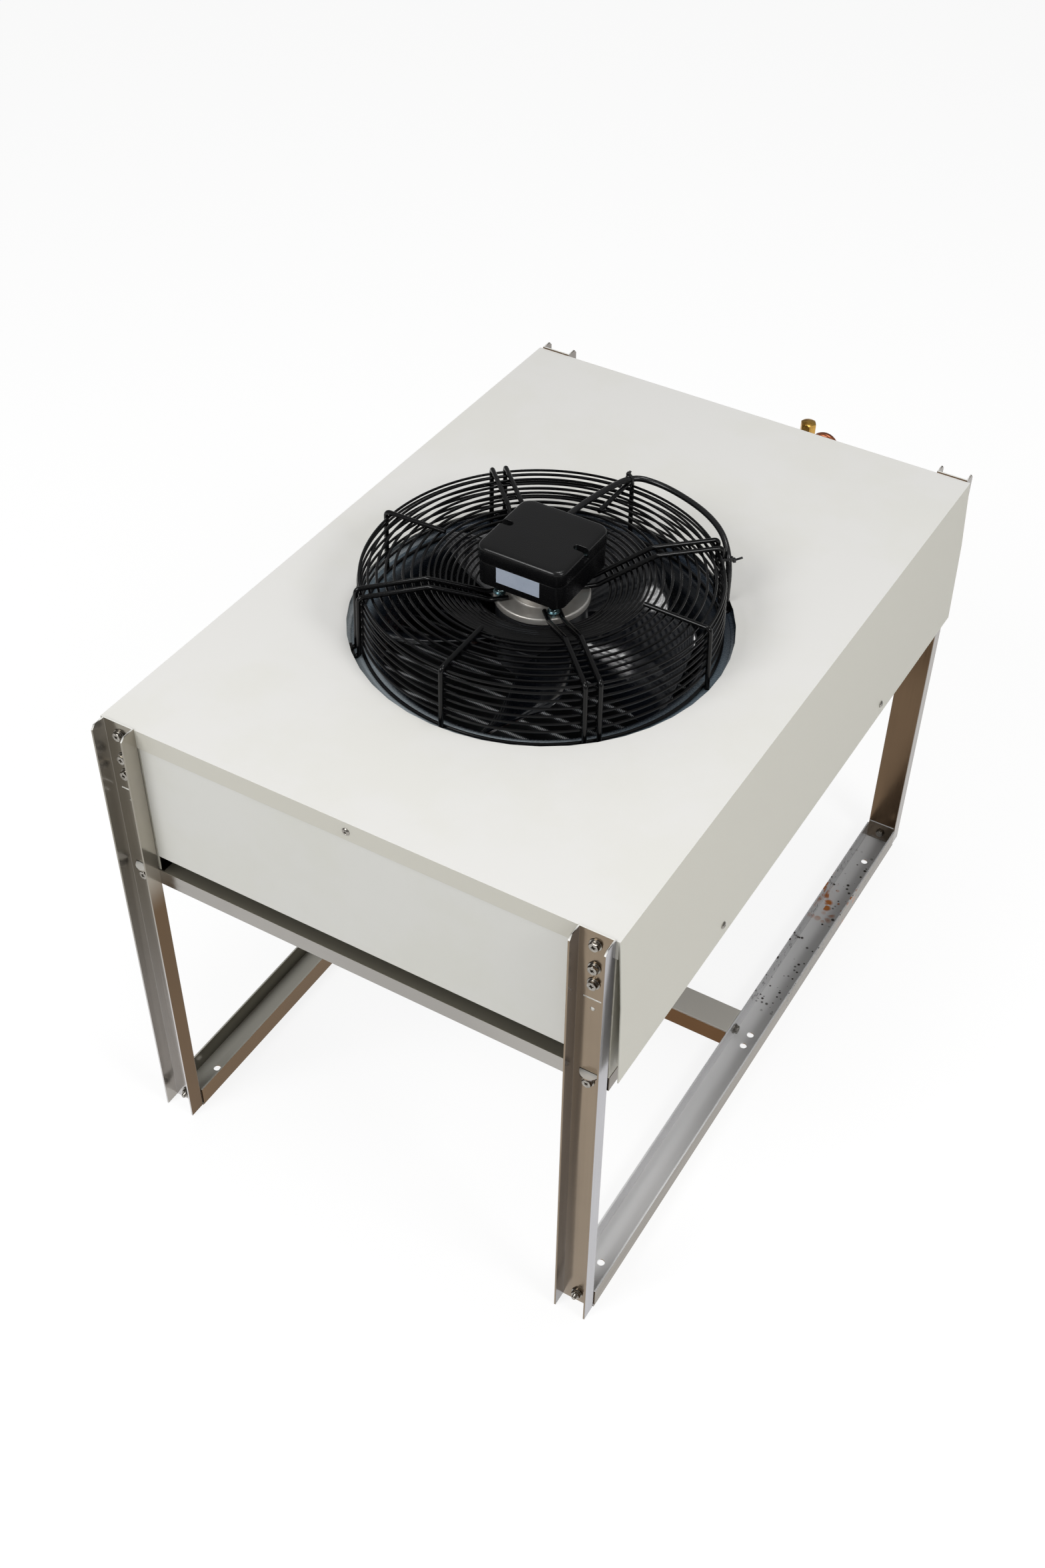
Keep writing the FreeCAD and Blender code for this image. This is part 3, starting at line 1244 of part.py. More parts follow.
def strap(spot, wire_way, route):
    """A cable tie round a guard wire at spot and the nearest stretch of the cable, square to
    the mean of their directions."""
    width, thick, play = number("tie_width"), number("tie_sheet"), number("tie_play")
    distance, spots, places = Part.Vertex(spot).distToShape(route)
    near = spots[0][1]
    edge, where = places[0][4], places[0][5]
    tangent = route.Edges[edge].tangentAt(where) if places[0][3] == "Edge" else wire_way
    normal = (wire_way + tangent).normalize()
    near = near - normal * (near - spot).dot(normal)
    across = normal.cross((near - spot).normalize())
    loops = []
    for grow in (play + thick, play):
        radius = number("cable_radius") + grow
        ends = [Part.makeCylinder(radius, width, foot - normal * (width / 2), normal)
                for foot in (spot, near)]
        corners = [foot + across * (radius * sign) - normal * (width / 2)
                   for foot, sign in ((spot, -1), (near, -1), (near, 1), (spot, 1), (spot, -1))]
        middle = Part.Face(Part.makePolygon(corners)).extrude(normal * width)
        loops.append(ends[0].fuse(ends[1]).fuse(middle).removeSplitter())
    return loops[0].cut(loops[1])


def build_cable(grommets):
    """Fan cable from the terminal box over the guard's rim, down outside it, through the
    wall ring and into a junction box on the right side of the frame."""
    fan = Vector(number("fan_x"), number("fan_y"), 0)
    radius = number("cable_radius")
    gland_r = number("gland_radius")
    gland = fan + Vector(number("gland_x"), number("box_side / 2"), number("gland_z"))
    body = Part.makeCylinder(gland_r, number("box_wall"), gland - Y_AXIS * number("box_wall"),
                             Y_AXIS)
    reach = number("gland_reach")
    body = body.fuse(hexagon(2.5 * gland_r, number("gland_nut"), gland, Y_AXIS))
    body = body.fuse(Part.makeCylinder(0.9 * gland_r, reach, gland, Y_AXIS))
    lead = Part.makeCylinder(radius, 4 * reach, gland - Y_AXIS * (2 * reach), Y_AXIS)
    node(made("Gland", body.cut(lead)), "cable_gland")

    def round_rim(degrees, reach, z):
        turn = math.radians(degrees)
        return fan + Vector(reach * math.cos(turn), reach * math.sin(turn), z)

    rest = number("guard_top + arm_radius + cable_radius + weld_play") + 0.25
    drop, angle = number("cable_drop_radius"), number("cable_drop_angle")
    box_x = number("frame_x - frame_sheet - junction_depth")
    inner = round_rim(angle, drop, 0)
    low = number("seat_z - junction_drop")
    points = [
        gland + Y_AXIS * -number("box_wall"), gland + Vector(0, 24, 0),
        gland + Vector(2, 62, -2), gland + Vector(9, 104, -3.5),
        round_rim(89.3, 199, rest + 0.8), round_rim(81, 209.5, rest - 3),
        round_rim(71, 211.5, rest - 4.5), round_rim(60, 212, rest - 4),
        round_rim(50.5, 212.3, rest - 6.5), round_rim(43.8, 210.8, rest - 17),
        round_rim(angle + 0.4, drop + 0.6, rest - 36), round_rim(angle, drop, rest - 59.65),
        round_rim(angle, drop, low + 27.5), inner + Vector(3, 0, low + 15.5),
        inner + Vector(10, 0, low + 6.5), inner + Vector(22, 0, low + 1.5),
        inner + Vector(38, 0, low), Vector(box_x, inner.y, low)]
    bends = []
    for before, corner, after in zip(points, points[1:], points[2:]):
        turn = (corner - before).getAngle(after - corner)
        short = min((corner - before).Length, (after - corner).Length)
        bends.append(min(0.45 * short / math.tan(max(turn, 0.01) / 2), 400))
    print("cable radii", [round(bend) for bend in bends])
    route = path(points, bends)
    node(made("Cable", swept(route, radius)), "fan_cable")

    end = points[-1]
    side, tall, deep = number("junction_side"), number("junction_height"), number("junction_depth")
    wall = number("box_wall")
    shell = Part.makeBox(deep, side, tall, Vector(box_x, end.y - side / 2, end.z - tall / 2))
    shell = shell.cut(Part.makeBox(deep - 2 * wall, side - 2 * wall, tall - 2 * wall,
                                   Vector(box_x + wall, end.y - side / 2 + wall,
                                          end.z - tall / 2 + wall)))
    node(made("JunctionBox", shell), "junction_box")

    hole = round_rim(angle, drop, number("seat_z - ring_sheet / 2"))
    rubber, lip = number("grommet_wall"), number("grommet_lip")
    length, lip_length = number("grommet_length"), number("grommet_lip_length")
    plug = tube(radius + rubber, rubber, hole - Z_AXIS * (length / 2), Z_AXIS, length)
    for z in (-number("ring_sheet") / 2 - lip_length, number("ring_sheet") / 2):
        plug = plug.fuse(tube(radius + rubber + lip, rubber + lip, hole + Z_AXIS * z, Z_AXIS,
                              lip_length))
    node(made("Grommets", Part.makeCompound([*grommets, plug])), "grommets")

    step = number("wire_radius + arm_radius")
    between = number("guard_radius - (3 * wire_radius + ring_pitch) / 2 - arm_radius")
    rib_spot = round_rim(90, between, number("guard_top"))
    pair_z = number("guard_top - side_start - side_pitch / 2") - step
    pair_spot = fan + Rotation(Z_AXIS, 45).multVec(
        Vector(number("guard_radius"), -number("arm_spacing") / 2, pair_z))
    straps = [strap(rib_spot, Y_AXIS, route), strap(pair_spot, Z_AXIS * -1, route)]
    node(made("Ties", Part.makeCompound(straps)), "cable_ties")


def build_fasteners(lid_screws):
    """Bolts and screws, grouped by what they hold; the lid's screws join the motor's bolts."""
    half = number("case_length / 2")
    leg_x, leg_sheet = number("leg_x"), number("leg_sheet")
    length = number("bolt_length")
    out = {-1: Y_AXIS * -1, 1: Y_AXIS}
    side_lift = number("side_screw_lift")
    leg_bolts, foot_bolts, cross_bolts, side_screws, end_screws = [], [], [], [], []
    for end, sign_y, out_y in ENDS:
        face = sign_y * (half + leg_sheet)
        for side, sign_x, out_x in SIDES:
            x = sign_x * leg_x
            for drop in ("leg_bolt_drop", "leg_bolt_middle", "leg_bolt_low"):
                leg_bolts.append(bolt(Vector(x, face, number("case_top - " + drop)),
                                      out[sign_y], length))
            leg_bolts.append(bolt(Vector(x, face, number("bar_bolt_z")), out[sign_y], length))
            grip = leg_sheet + number("rail_sheet")
            foot_bolts.append(bolt(Vector(x, face, number("foot_bolt_z")), out[sign_y], grip,
                                   with_nut=True))
            wall = X_AXIS * sign_x
            height = number("case_top - side_depth + side_screw_rise")
            lean = number("case_width / 2 + side_flare - (side_flare - side_bow)"
                          " * side_screw_rise / (side_depth - side_bow_drop)")
            side_screws.append(round_screw(
                Vector(sign_x * (lean + side_lift), sign_y * number("side_screw_y"), height), wall,
                lean - number("frame_x - 2 * frame_sheet")))
        spot = Vector(0, sign_y * half, number("case_top - flange_depth / 2"))
        end_screws.append(round_screw(spot, out[sign_y], number("screw_length")))
    for side, sign_x, out_x in SIDES:
        wall = X_AXIS * sign_x
        seat = Vector(sign_x * number("leg_x - rail_width / 2 + rail_sheet"), number("cross_y"),
                      number("rail_height / 2"))
        cross_bolts.append(bolt(seat, wall, number("2 * rail_sheet")))
    top = number("case_top - cover_sheet - ring_sheet - frame_sheet")
    plate_screws = []
    for end, sign_y, out_y in ENDS:
        for side, sign_x, out_x in SIDES:
            spot = Vector(number(f"fan_x + {sign_x} * beam_half"),
                          number(f"fan_y + {sign_y} * beam_half"), top)
            plate_screws.append(round_screw(spot, Z_AXIS * -1, number("2 * frame_sheet")))
    fan = Vector(number("fan_x"), number("fan_y"), 0)
    arm_top = number("motor_face + 2 * (arm_radius + weld_play)")
    motor_screws = list(lid_screws)
    reach = number("motor_radius - motor_screw_inset")
    for i in range(4):
        turn = math.radians(45 + 90 * i)
        spot = fan + Vector(reach * math.cos(turn), reach * math.sin(turn), arm_top)
        motor_screws.append(bolt(spot, Z_AXIS, number("2 * arm_radius + weld_play")))
    for label, shapes in (("leg_bolts", leg_bolts), ("base_bolts", foot_bolts + cross_bolts),
                          ("cover_screws", side_screws + end_screws),
                          ("fan_plate_screws", plate_screws), ("motor_screws", motor_screws)):
        node(made(label.title().replace("_", ""), Part.makeCompound(shapes)), label)


build_cover()
for end_name, sign_end, toward_end in ENDS:
    build_panel(end_name, sign_end, toward_end)
    build_crossbar(end_name, sign_end, toward_end)
    build_fan_beam(end_name, sign_end)
    for side_name, sign_side, toward_side in SIDES:
        build_leg(end_name, sign_end, side_name, sign_side)
for side_name, sign_side, toward_side in SIDES:
    build_rail(side_name, sign_side)
    build_side_frame(side_name, sign_side)
build_cross_member()
build_coil()
pipe_grommets = build_pipes()
build_valve()
build_wall_ring()
build_guard()
build_motor()
build_blades()
box_screws = build_terminal_box()
build_cable(pipe_grommets)
build_fasteners(box_screws)
doc.recompute()

faults = [f"{item.Name}: {item.State}" for item in doc.Objects
          if "Invalid" in item.State or "Error" in item.State]
for item in nodes:
    shape = item.Shape
    if shape.isNull() or not shape.isValid() or not shape.Solids:
        faults.append(item.Label + ": shape")
if faults:
    raise SystemExit("faults: " + "; ".join(faults))
for item in nodes:
    item.Shape.exportStep(f"parts/{item.Label}.step")
print(len(nodes), "nodes", sum(len(item.Shape.Solids) for item in nodes), "solids")
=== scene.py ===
"""Looks of a remote condenser: a painted casing on stainless channel legs, one axial fan under
a black wire guard, a finned coil below it.

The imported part's frame: +Z up, the origin on the floor below the casing's centre, +Y the back
with the pipe ends, +X the right side. Shapes are written in millimetres and become metres where
MM stands; camera, lamps and finishes are written in metres."""
from contextlib import contextmanager
import json
import math

import bmesh
import bpy
import numpy as np
from mathutils import Matrix, Vector


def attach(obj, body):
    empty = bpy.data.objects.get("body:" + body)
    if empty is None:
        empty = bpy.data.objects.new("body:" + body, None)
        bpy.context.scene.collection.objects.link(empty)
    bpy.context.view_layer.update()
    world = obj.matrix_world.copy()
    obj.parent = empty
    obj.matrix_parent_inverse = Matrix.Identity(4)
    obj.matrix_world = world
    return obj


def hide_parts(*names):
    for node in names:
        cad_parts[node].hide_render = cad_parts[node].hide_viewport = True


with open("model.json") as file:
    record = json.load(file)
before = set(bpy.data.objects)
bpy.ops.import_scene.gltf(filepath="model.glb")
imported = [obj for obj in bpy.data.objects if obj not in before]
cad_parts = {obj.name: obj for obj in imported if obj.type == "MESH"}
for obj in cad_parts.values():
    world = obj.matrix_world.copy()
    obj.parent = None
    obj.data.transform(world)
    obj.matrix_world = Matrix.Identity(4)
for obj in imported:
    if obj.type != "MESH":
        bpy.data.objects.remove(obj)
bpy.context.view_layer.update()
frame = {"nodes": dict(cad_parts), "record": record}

MM = 0.001
MICRON = 0.000001
TAU = 2 * math.pi
X_WAY, Y_WAY, Z_WAY = np.eye(3)

# Sizes shared by several pieces, in millimetres
FAN = np.array([-3.0, -64.0, 0.0])
CASE_HALF = 445
LEG_X = 281
LEG_FACE = 447
SEAT_Z = 608
WIRE = 1.5
ARM = 2.75
WELD = 0.15
GUARD_TOP = 687
GUARD_RIM = 202.5
GUARD_FOOT = 205.2
KNEE = 126
KNEE_RISE = 1.5
MOTOR_FACE = 658
MOTOR_RADIUS = 53.5
ARM_SPACING = 16
BLADE_REST = 12
CLIP_R = 214.5
NOTCH_Z = 717
CABLE_REST = 693.65
CABLE_DROP = (40.3, 209.6)
CORNERS = (45, 135, 225, 315)
LEG_BOLT_HEIGHTS = (606, 574, 552, 405)
BOLT_FLATS = 10
BOLT_CORNER = 5.2


# Meshes


def unit(vectors):
    """Each vector over its length."""
    vectors = np.asarray(vectors, float)
    return vectors / np.linalg.norm(vectors, axis=-1, keepdims=True)


def grid(points, around=True):
    """Quads between the neighbours of an array of rows by columns of points; around joins the
    last column to the first."""
    rows, columns = points.shape[:2]
    index = np.arange(rows * columns).reshape(rows, columns)
    if around:
        index = np.hstack([index, index[:, :1]])
    corners = [index[:-1, :-1], index[:-1, 1:], index[1:, 1:], index[1:, :-1]]
    return points.reshape(-1, 3), np.stack(corners, axis=-1).reshape(-1, 4)


def capped(rows):
    """Quads over rows of points that go round, closed at each end by a cap that runs to the
    middle of its row."""
    rows = np.asarray(rows, float)
    ends = [np.repeat(rows[[k]].mean(axis=1, keepdims=True), rows.shape[1], axis=1)
            for k in (0, -1)]
    return grid(np.concatenate([ends[0], rows, ends[1]]))


def stacked(levels, angle, centre=(0, 0, 0)):
    """Rings above each other: level by level (r cos a, r sin a, z), where r and z are numbers or
    arrays over the angle a."""
    flat = np.zeros_like(angle)
    rows = [np.stack([r * np.cos(angle), r * np.sin(angle), z + flat], axis=-1) for r, z in levels]
    return grid(np.array(rows) + np.asarray(centre, float))


def turns(count):
    """Evenly spaced angles round a full turn."""
    return np.arange(count) * TAU / count


def lathe(profile, centre=(0, 0, 0), segments=128):
    """Pairs of radius and height turned about the vertical axis through centre."""
    return stacked(profile, turns(segments), centre)


def arc(centre, radius, start, end, steps):
    """Points (x + r cos a, y + r sin a) from one angle in degrees to another."""
    angle = np.radians(np.linspace(start, end, steps + 1))
    return [(centre[0] + radius * math.cos(a), centre[1] + radius * math.sin(a)) for a in angle]


def rounded(points, bends, steps=8):
    """A path through the points whose corners are arcs. An arc of radius r in a corner of inner
    angle 2h leaves its runs at r / tan h from the corner, about a centre at r / sin h."""
    points = np.asarray(points, float)
    path = [points[:1]]
    share = np.linspace(0, 1, steps + 1)[:, None]
    for before, corner, after, radius in zip(points, points[1:], points[2:], bends):
        back, on = unit(before - corner), unit(after - corner)
        half = math.acos(np.clip(back @ on, -1, 1)) / 2
        centre = corner + unit(back + on) * radius / math.sin(half)
        first = corner + back * radius / math.tan(half) - centre
        last = corner + on * radius / math.tan(half) - centre
        swing = math.pi - 2 * half
        sweep = np.sin((1 - share) * swing) * first + np.sin(share * swing) * last
        path.append(centre + sweep / math.sin(swing))
    path.append(points[-1:])
    return np.concatenate(path)


def tube(path, radius, across, sides=14):
    """A circle carried along a flat path and closed at both ends: centre + r (cos a * side +
    sin a * across), where across is square to the path's plane and side is across x the path's
    direction."""
    runs = unit(np.diff(path, axis=0))
    tangent = unit(np.concatenate([runs[:1], runs[:-1] + runs[1:], runs[-1:]]))
    side = unit(np.cross(across, tangent))[:, None]
    angle = turns(sides)[None, :, None]
    return capped(path[:, None] + radius * (np.cos(angle) * side + np.sin(angle) * across))


def hoop(radius, height, thick):
    """A wire ring: a circle turned about the fan's axis."""
    return lathe(arc((radius, height), thick, 0, 360, 10), FAN, 192)


def laid(shape, origin, axis, spin=0.0):
    """A shape with its own Z axis laid along axis, turned about it by spin, then moved to
    origin."""
    axis = unit(axis)
    helper = X_WAY if abs(axis[2]) > 0.9 else Z_WAY
    first = unit(np.cross(helper, axis))
    second = np.cross(axis, first)
    across = math.cos(spin) * first + math.sin(spin) * second
    basis = np.array([across, np.cross(axis, across), axis])
    return shape[0] @ basis + np.asarray(origin, float), shape[1]


def about_fan(shape, degrees):
    """A shape turned about the vertical axis by an angle in degrees, then moved to the fan."""
    turn = math.radians(degrees)
    basis = np.array([[math.cos(turn), math.sin(turn), 0], [-math.sin(turn), math.cos(turn), 0],
            [0, 0, 1]])
    return shape[0] @ basis + FAN, shape[1]


def rounded_square(half, corner, steps=10):
    """A square outline with round corners: in each quarter the corner's centre plus an arc."""
    angle = np.linspace(0, math.pi / 2, steps + 1)[None] + np.arange(4)[:, None] * math.pi / 2
    middle = (np.arange(4) + 0.5)[:, None] * math.pi / 2
    reach = (half - corner) * math.sqrt(2)
    x = reach * np.cos(middle) + corner * np.cos(angle)
    y = reach * np.sin(middle) + corner * np.sin(angle)
    return np.stack([x.ravel(), y.ravel()], axis=-1)


def cushion_box(levels):
    """A round-cornered square box about the fan's axis, with one outline for each level: half
    side, corner radius, height."""
    rows = [np.insert(rounded_square(half, corner), 2, z, axis=1) for half, corner, z in levels]
    return capped(np.array(rows) + FAN)


def slab(long, wide, thick):
    """A flat plate standing on its own origin, as a closed loop carried along its width."""
    loop = np.array([(-long / 2, 0), (long / 2, 0), (long / 2, thick), (-long / 2, thick)])
    return capped([np.insert(loop, 1, y, axis=1) for y in (-wide / 2, wide / 2)])


def fan_point(degrees, reach, height):
    """A point beside the fan: its angle and distance from the fan's axis, and its height."""
    turn = math.radians(degrees)
    return FAN + np.array([reach * math.cos(turn), reach * math.sin(turn), height])


@contextmanager
def opened(mesh):
    """The mesh open for editing; the changes are written back to it."""
    work = bmesh.new()
    work.from_mesh(mesh)
    yield work
    work.to_mesh(mesh)
    work.free()


def in_scene(name, data):
    """A new object with the given data, linked to the scene."""
    item = bpy.data.objects.new(name, data)
    bpy.context.scene.collection.objects.link(item)
    return item


def mesh_object(name, shapes):
    """One mesh object in metres from shapes in millimetres, with doubles merged and its faces
    turned outwards."""
    starts = np.cumsum([0] + [len(points) for points, quads in shapes])
    points = np.concatenate([points for points, quads in shapes]) * MM
    quads = np.concatenate([quads + start for (_, quads), start in zip(shapes, starts)])
    mesh = bpy.data.meshes.new(name)
    mesh.from_pydata(points.tolist(), [], quads.tolist())
    with opened(mesh) as work:
        bmesh.ops.remove_doubles(work, verts=work.verts, dist=1e-7)
        bmesh.ops.dissolve_degenerate(work, edges=work.edges, dist=1e-8)
        bmesh.ops.recalc_face_normals(work, faces=work.faces)
    return in_scene(name, mesh)


def finish_piece(item, finish, nodes=(), body="casing", crease=35):
    """Smooth up to the crease angle in degrees, with its finish, its body and the nodes that it
    stands for."""
    item.data.materials.clear()
    item.data.materials.append(finish.material)
    item.data.shade_smooth()
    item.data.set_sharp_from_angle(angle=math.radians(crease))
    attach(item, body)
    if nodes:
        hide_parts(*nodes)
    return item


def new_piece(name, shapes, finish, nodes=(), body="casing", crease=35):
    """A finished piece made from shapes."""
    return finish_piece(mesh_object(name, shapes), finish, nodes, body, crease)


def bevel(item, width, segments=2, by_weight=False, angle=50):
    """A live Bevel modifier on the edges sharper than the angle in degrees, or by weight."""
    tool = item.modifiers.new("Edges", "BEVEL")
    tool.width = width * MM
    tool.segments = segments
    tool.limit_method = "WEIGHT" if by_weight else "ANGLE"
    tool.angle_limit = math.radians(angle)
    tool.use_clamp_overlap = True


def node_copy(node):
    """A merged copy of a node's mesh, its flat areas joined into single faces."""
    mesh = frame["nodes"][node].data.copy()
    mesh.name = node + "_skin"
    with opened(mesh) as work:
        bmesh.ops.remove_doubles(work, verts=work.verts, dist=2e-6)
        bmesh.ops.dissolve_limit(work, angle_limit=math.radians(0.5), verts=work.verts,
                edges=work.edges)
    return in_scene(node + "_skin", mesh)


def pressed(node, finish, sheet, bend):
    """A sheet-metal node with rounded bends. A sharp edge between two faces that are each much
    wider than the sheet is a bend: its outer side takes the bend's radius and its inner side
    that less the sheet. Every other sharp edge is a rim with a small round."""
    item, rim = node_copy(node), 0.25
    with opened(item.data) as work:
        weight = work.edges.layers.float.new("bevel_weight_edge")
        for edge in work.edges:
            if len(edge.link_faces) != 2:
                continue
            turn = edge.calc_face_angle_signed(0)
            if abs(turn) < math.radians(40):
                continue
            widths = [face.calc_area() / max(face_span(face, edge), 1e-6)
                    for face in edge.link_faces]
            if edge.calc_length() > 6 * sheet * MM and min(widths) > 2.2 * sheet * MM:
                edge[weight] = 1.0 if turn > 0 else max(0.05, (bend - sheet) / bend)
            else:
                edge[weight] = rim / bend
    bevel(item, bend, 4, by_weight=True)
    finish_piece(item, finish, (node,), BODY_OF[node], crease=50)


def face_span(face, edge):
    """How far a face reaches along an edge's direction."""
    way = (edge.verts[1].co - edge.verts[0].co).normalized()
    along = [corner.co.dot(way) for corner in face.verts]
    return max(along) - min(along)


def softened(node, finish, width):
    """A machined or moulded node with small rounds on its sharp edges."""
    item = node_copy(node)
    if width:
        bevel(item, width)
    finish_piece(item, finish, (node,), BODY_OF[node], crease=40)


BODY_OF = {node: body for body, nodes in frame["record"]["behaviour"]["bodies"].items()
        for node in nodes}


# Finishes


def linear(colour):
    """A colour of three screen levels, 0 to 255, as the linear values that a shader takes. A
    socket, or a colour of four linear values, stays as it is."""
    if not isinstance(colour, tuple) or len(colour) == 4:
        return colour
    level = np.array(colour) / 255
    values = np.where(level <= 0.04045, level / 12.92, ((level + 0.055) / 1.055) ** 2.4)
    return (*values.tolist(), 1.0)


class Tree:
    """A node tree with short calls that add a node and join its inputs: an input given as a
    socket is linked, any other value is set on the socket."""

    def __init__(self, tree):
        self.tree = tree
        self.tree.nodes.clear()

    def add(self, kind, values=None, **settings):
        """Adds a shader node, or a group's input or output, and returns its outputs."""
        prefix = "" if kind.startswith("NodeGroup") else "ShaderNode"
        item = self.tree.nodes.new(prefix + kind)
        for key, value in settings.items():
            setattr(item, key, value)
        for key, value in (values or {}).items():
            if isinstance(value, bpy.types.NodeSocket):
                self.tree.links.new(value, item.inputs[key])
            else:
                item.inputs[key].default_value = value
        return item.outputs

    def mixed(self, share, first, second):
        """Colour that goes from first to second as share goes from 0 to 1."""
        return self.add("Mix", {0: share, 6: linear(first), 7: linear(second)}, data_type="RGBA")[2]

    def ranged(self, value, low, high, out_low=0.0, out_high=1.0):
        """A smooth ramp from out_low at low to out_high at high."""
        return self.add("MapRange", {"Value": value, "From Min": low, "From Max": high,
                "To Min": out_low, "To Max": out_high}, interpolation_type="SMOOTHSTEP")[0]

    def maths(self, operation, *values):
        return self.add("Math", dict(enumerate(values)), operation=operation)[0]

    def times(self, first, second):
        return self.maths("MULTIPLY", first, second)

    def vectors(self, operation, *values):
        return self.add("VectorMath", dict(enumerate(values)), operation=operation)

    def split(self, vector):
        """The X, Y and Z of a vector."""
        return self.add("SeparateXYZ", {"Vector": vector})

    def noise(self, vector, scale, **more):
        return self.add("TexNoise", {"Vector": vector, "Scale": scale, **more})[0]

    def cells(self, vector, scale):
        """Random cells: the distance to a cell's middle, and three draws for each cell."""
        cells = self.add("TexVoronoi", {"Vector": vector, "Scale": scale})
        draws = self.add("SeparateColor", {"Color": cells["Color"]})
        return cells["Distance"], draws

    def bump(self, height, distance, strength):
        return self.add("Bump", {"Height": height, "Distance": distance, "Strength": strength})[0]


def make_grain(tree, given):
    """Rolling or brushing grain: noise on coordinates that are squeezed along the grain."""
    squeezed = tree.vectors("MULTIPLY", given["Vector"], given["Stretch"])[0]
    return {"Value": tree.noise(squeezed, 1.0, Detail=3.0)}


def make_patches(tree, given):
    """Soft uneven patches: noise between two levels."""
    noise = tree.noise(given["Vector"], given["Scale"], Detail=5.0, Roughness=0.6)
    return {"Mask": tree.ranged(noise, given["Low"], given["High"])}


def make_specks(tree, given):
    """Scattered round specks: a dot at the middle of a share of random cells, of random size."""
    distance, draws = tree.cells(given["Vector"], given["Scale"])
    reach = tree.times(given["Size"], draws["Green"])
    dot = tree.add("MapRange", {"Value": distance, "From Min": reach,
            "From Max": tree.times(reach, 0.6)})[0]
    chosen = tree.maths("LESS_THAN", draws["Red"], given["Share"])
    return {"Mask": tree.times(dot, chosen)}


def make_dimples(tree, given):
    """Fine unevenness of paint, plastic or cast metal: a bump of the given depth."""
    noise = tree.noise(given["Vector"], given["Scale"], Detail=2.0)
    return {"Normal": tree.bump(noise, given["Depth"], given["Strength"]), "Value": noise}


def make_facing(tree, given):
    """How far a surface faces one direction of the object, from 0 to 1."""
    normal = tree.add("NewGeometry")["Normal"]
    dot = tree.vectors("DOT_PRODUCT", normal, given["Direction"])["Value"]
    return {"Mask": tree.ranged(dot, 0.1, 0.9)}


def shader_group(name, make, inputs):
    """A shader group with its inputs' default values, filled by make, which returns what the
    group puts out."""
    group = bpy.data.node_groups.new(name, "ShaderNodeTree")
    for label, value in inputs.items():
        kind = "NodeSocketFloat" if isinstance(value, float) else "NodeSocketVector"
        socket = group.interface.new_socket(label, in_out="INPUT", socket_type=kind)
        if value is not None:
            socket.default_value = value
    tree = Tree(group)
    made = make(tree, tree.add("NodeGroupInput"))
    for label in made:
        kind = "NodeSocketVector" if label == "Normal" else "NodeSocketFloat"
        group.interface.new_socket(label, in_out="OUTPUT", socket_type=kind)
    tree.add("NodeGroupOutput", made)
    return group


GROUPS = {name: shader_group(name, make, inputs) for name, make, inputs in (
        ("Grain", make_grain, {"Vector": None, "Stretch": (300, 300, 6)}),
        ("Patches", make_patches, {"Vector": None, "Scale": 8.0, "Low": 0.4, "High": 0.65}),
        ("Specks", make_specks, {"Vector": None, "Scale": 90.0, "Size": 0.3, "Share": 0.3}),
        ("Dimples", make_dimples, {"Vector": None, "Scale": 400.0, "Depth": 0.00002, "Strength": 0.5}),
        ("Facing", make_facing, {"Direction": (1, 0, 0)}))}


class Finish(Tree):
    """A material whose Principled shader has its plain values set on its own sockets; the
    patterns are joined to it afterwards."""

    def __init__(self, name, colour, roughness=0.5, metal=0.0, **plain):
        self.material = bpy.data.materials.new(name)
        self.material.use_nodes = True
        super().__init__(self.material.node_tree)
        surface = self.add("BsdfPrincipled", {
                "Base Color": linear(colour), "Roughness": roughness, "Metallic": metal,
                **{key.replace("_", " "): value for key, value in plain.items()}})[0]
        self.add("OutputMaterial", {"Surface": surface})
        self.shader = surface.node
        self.place = self.add("TexCoord")["Object"]

    def effect(self, name, **values):
        """A shader group over the object's own coordinates, set to its values: its outputs."""
        return self.add("Group", {"Vector": self.place, **values}, node_tree=GROUPS[name])

    def facing(self, *way):
        """How far the surface faces a direction, from 0 to 1."""
        return self.add("Group", {"Direction": way}, node_tree=GROUPS["Facing"])["Mask"]

    def darker(self, tone, level):
        return self.add("HueSaturation", {"Color": tone, "Value": level})[0]

    def joined(self, socket):
        """What is joined to one of the shader's inputs."""
        return self.shader.inputs[socket].links[0].from_socket

    def join(self, socket, value):
        self.tree.links.new(value, self.shader.inputs[socket])

    def dimpled(self, scale, depth, smooth=None, rough=None):
        """Dimples of a depth in micrometres, and a roughness that goes with them from smooth
        to rough."""
        skin = self.effect("Dimples", Scale=scale, Depth=depth * MICRON)
        if rough:
            self.join("Roughness", self.ranged(skin["Value"], 0.2, 0.8, smooth, rough))
        self.join("Normal", skin["Normal"])


def painted(name, colour, faded, roughness, depth, scale, **plain):
    """Powder paint: patches of a slightly different tone, uneven gloss and orange peel."""
    finish = Finish(name, colour, roughness, **plain)
    patches = finish.effect("Patches", Scale=7.0)["Mask"]
    finish.join("Base Color", finish.mixed(patches, colour, faded))
    finish.dimpled(scale, depth, roughness - 0.05, roughness + 0.07)
    return finish


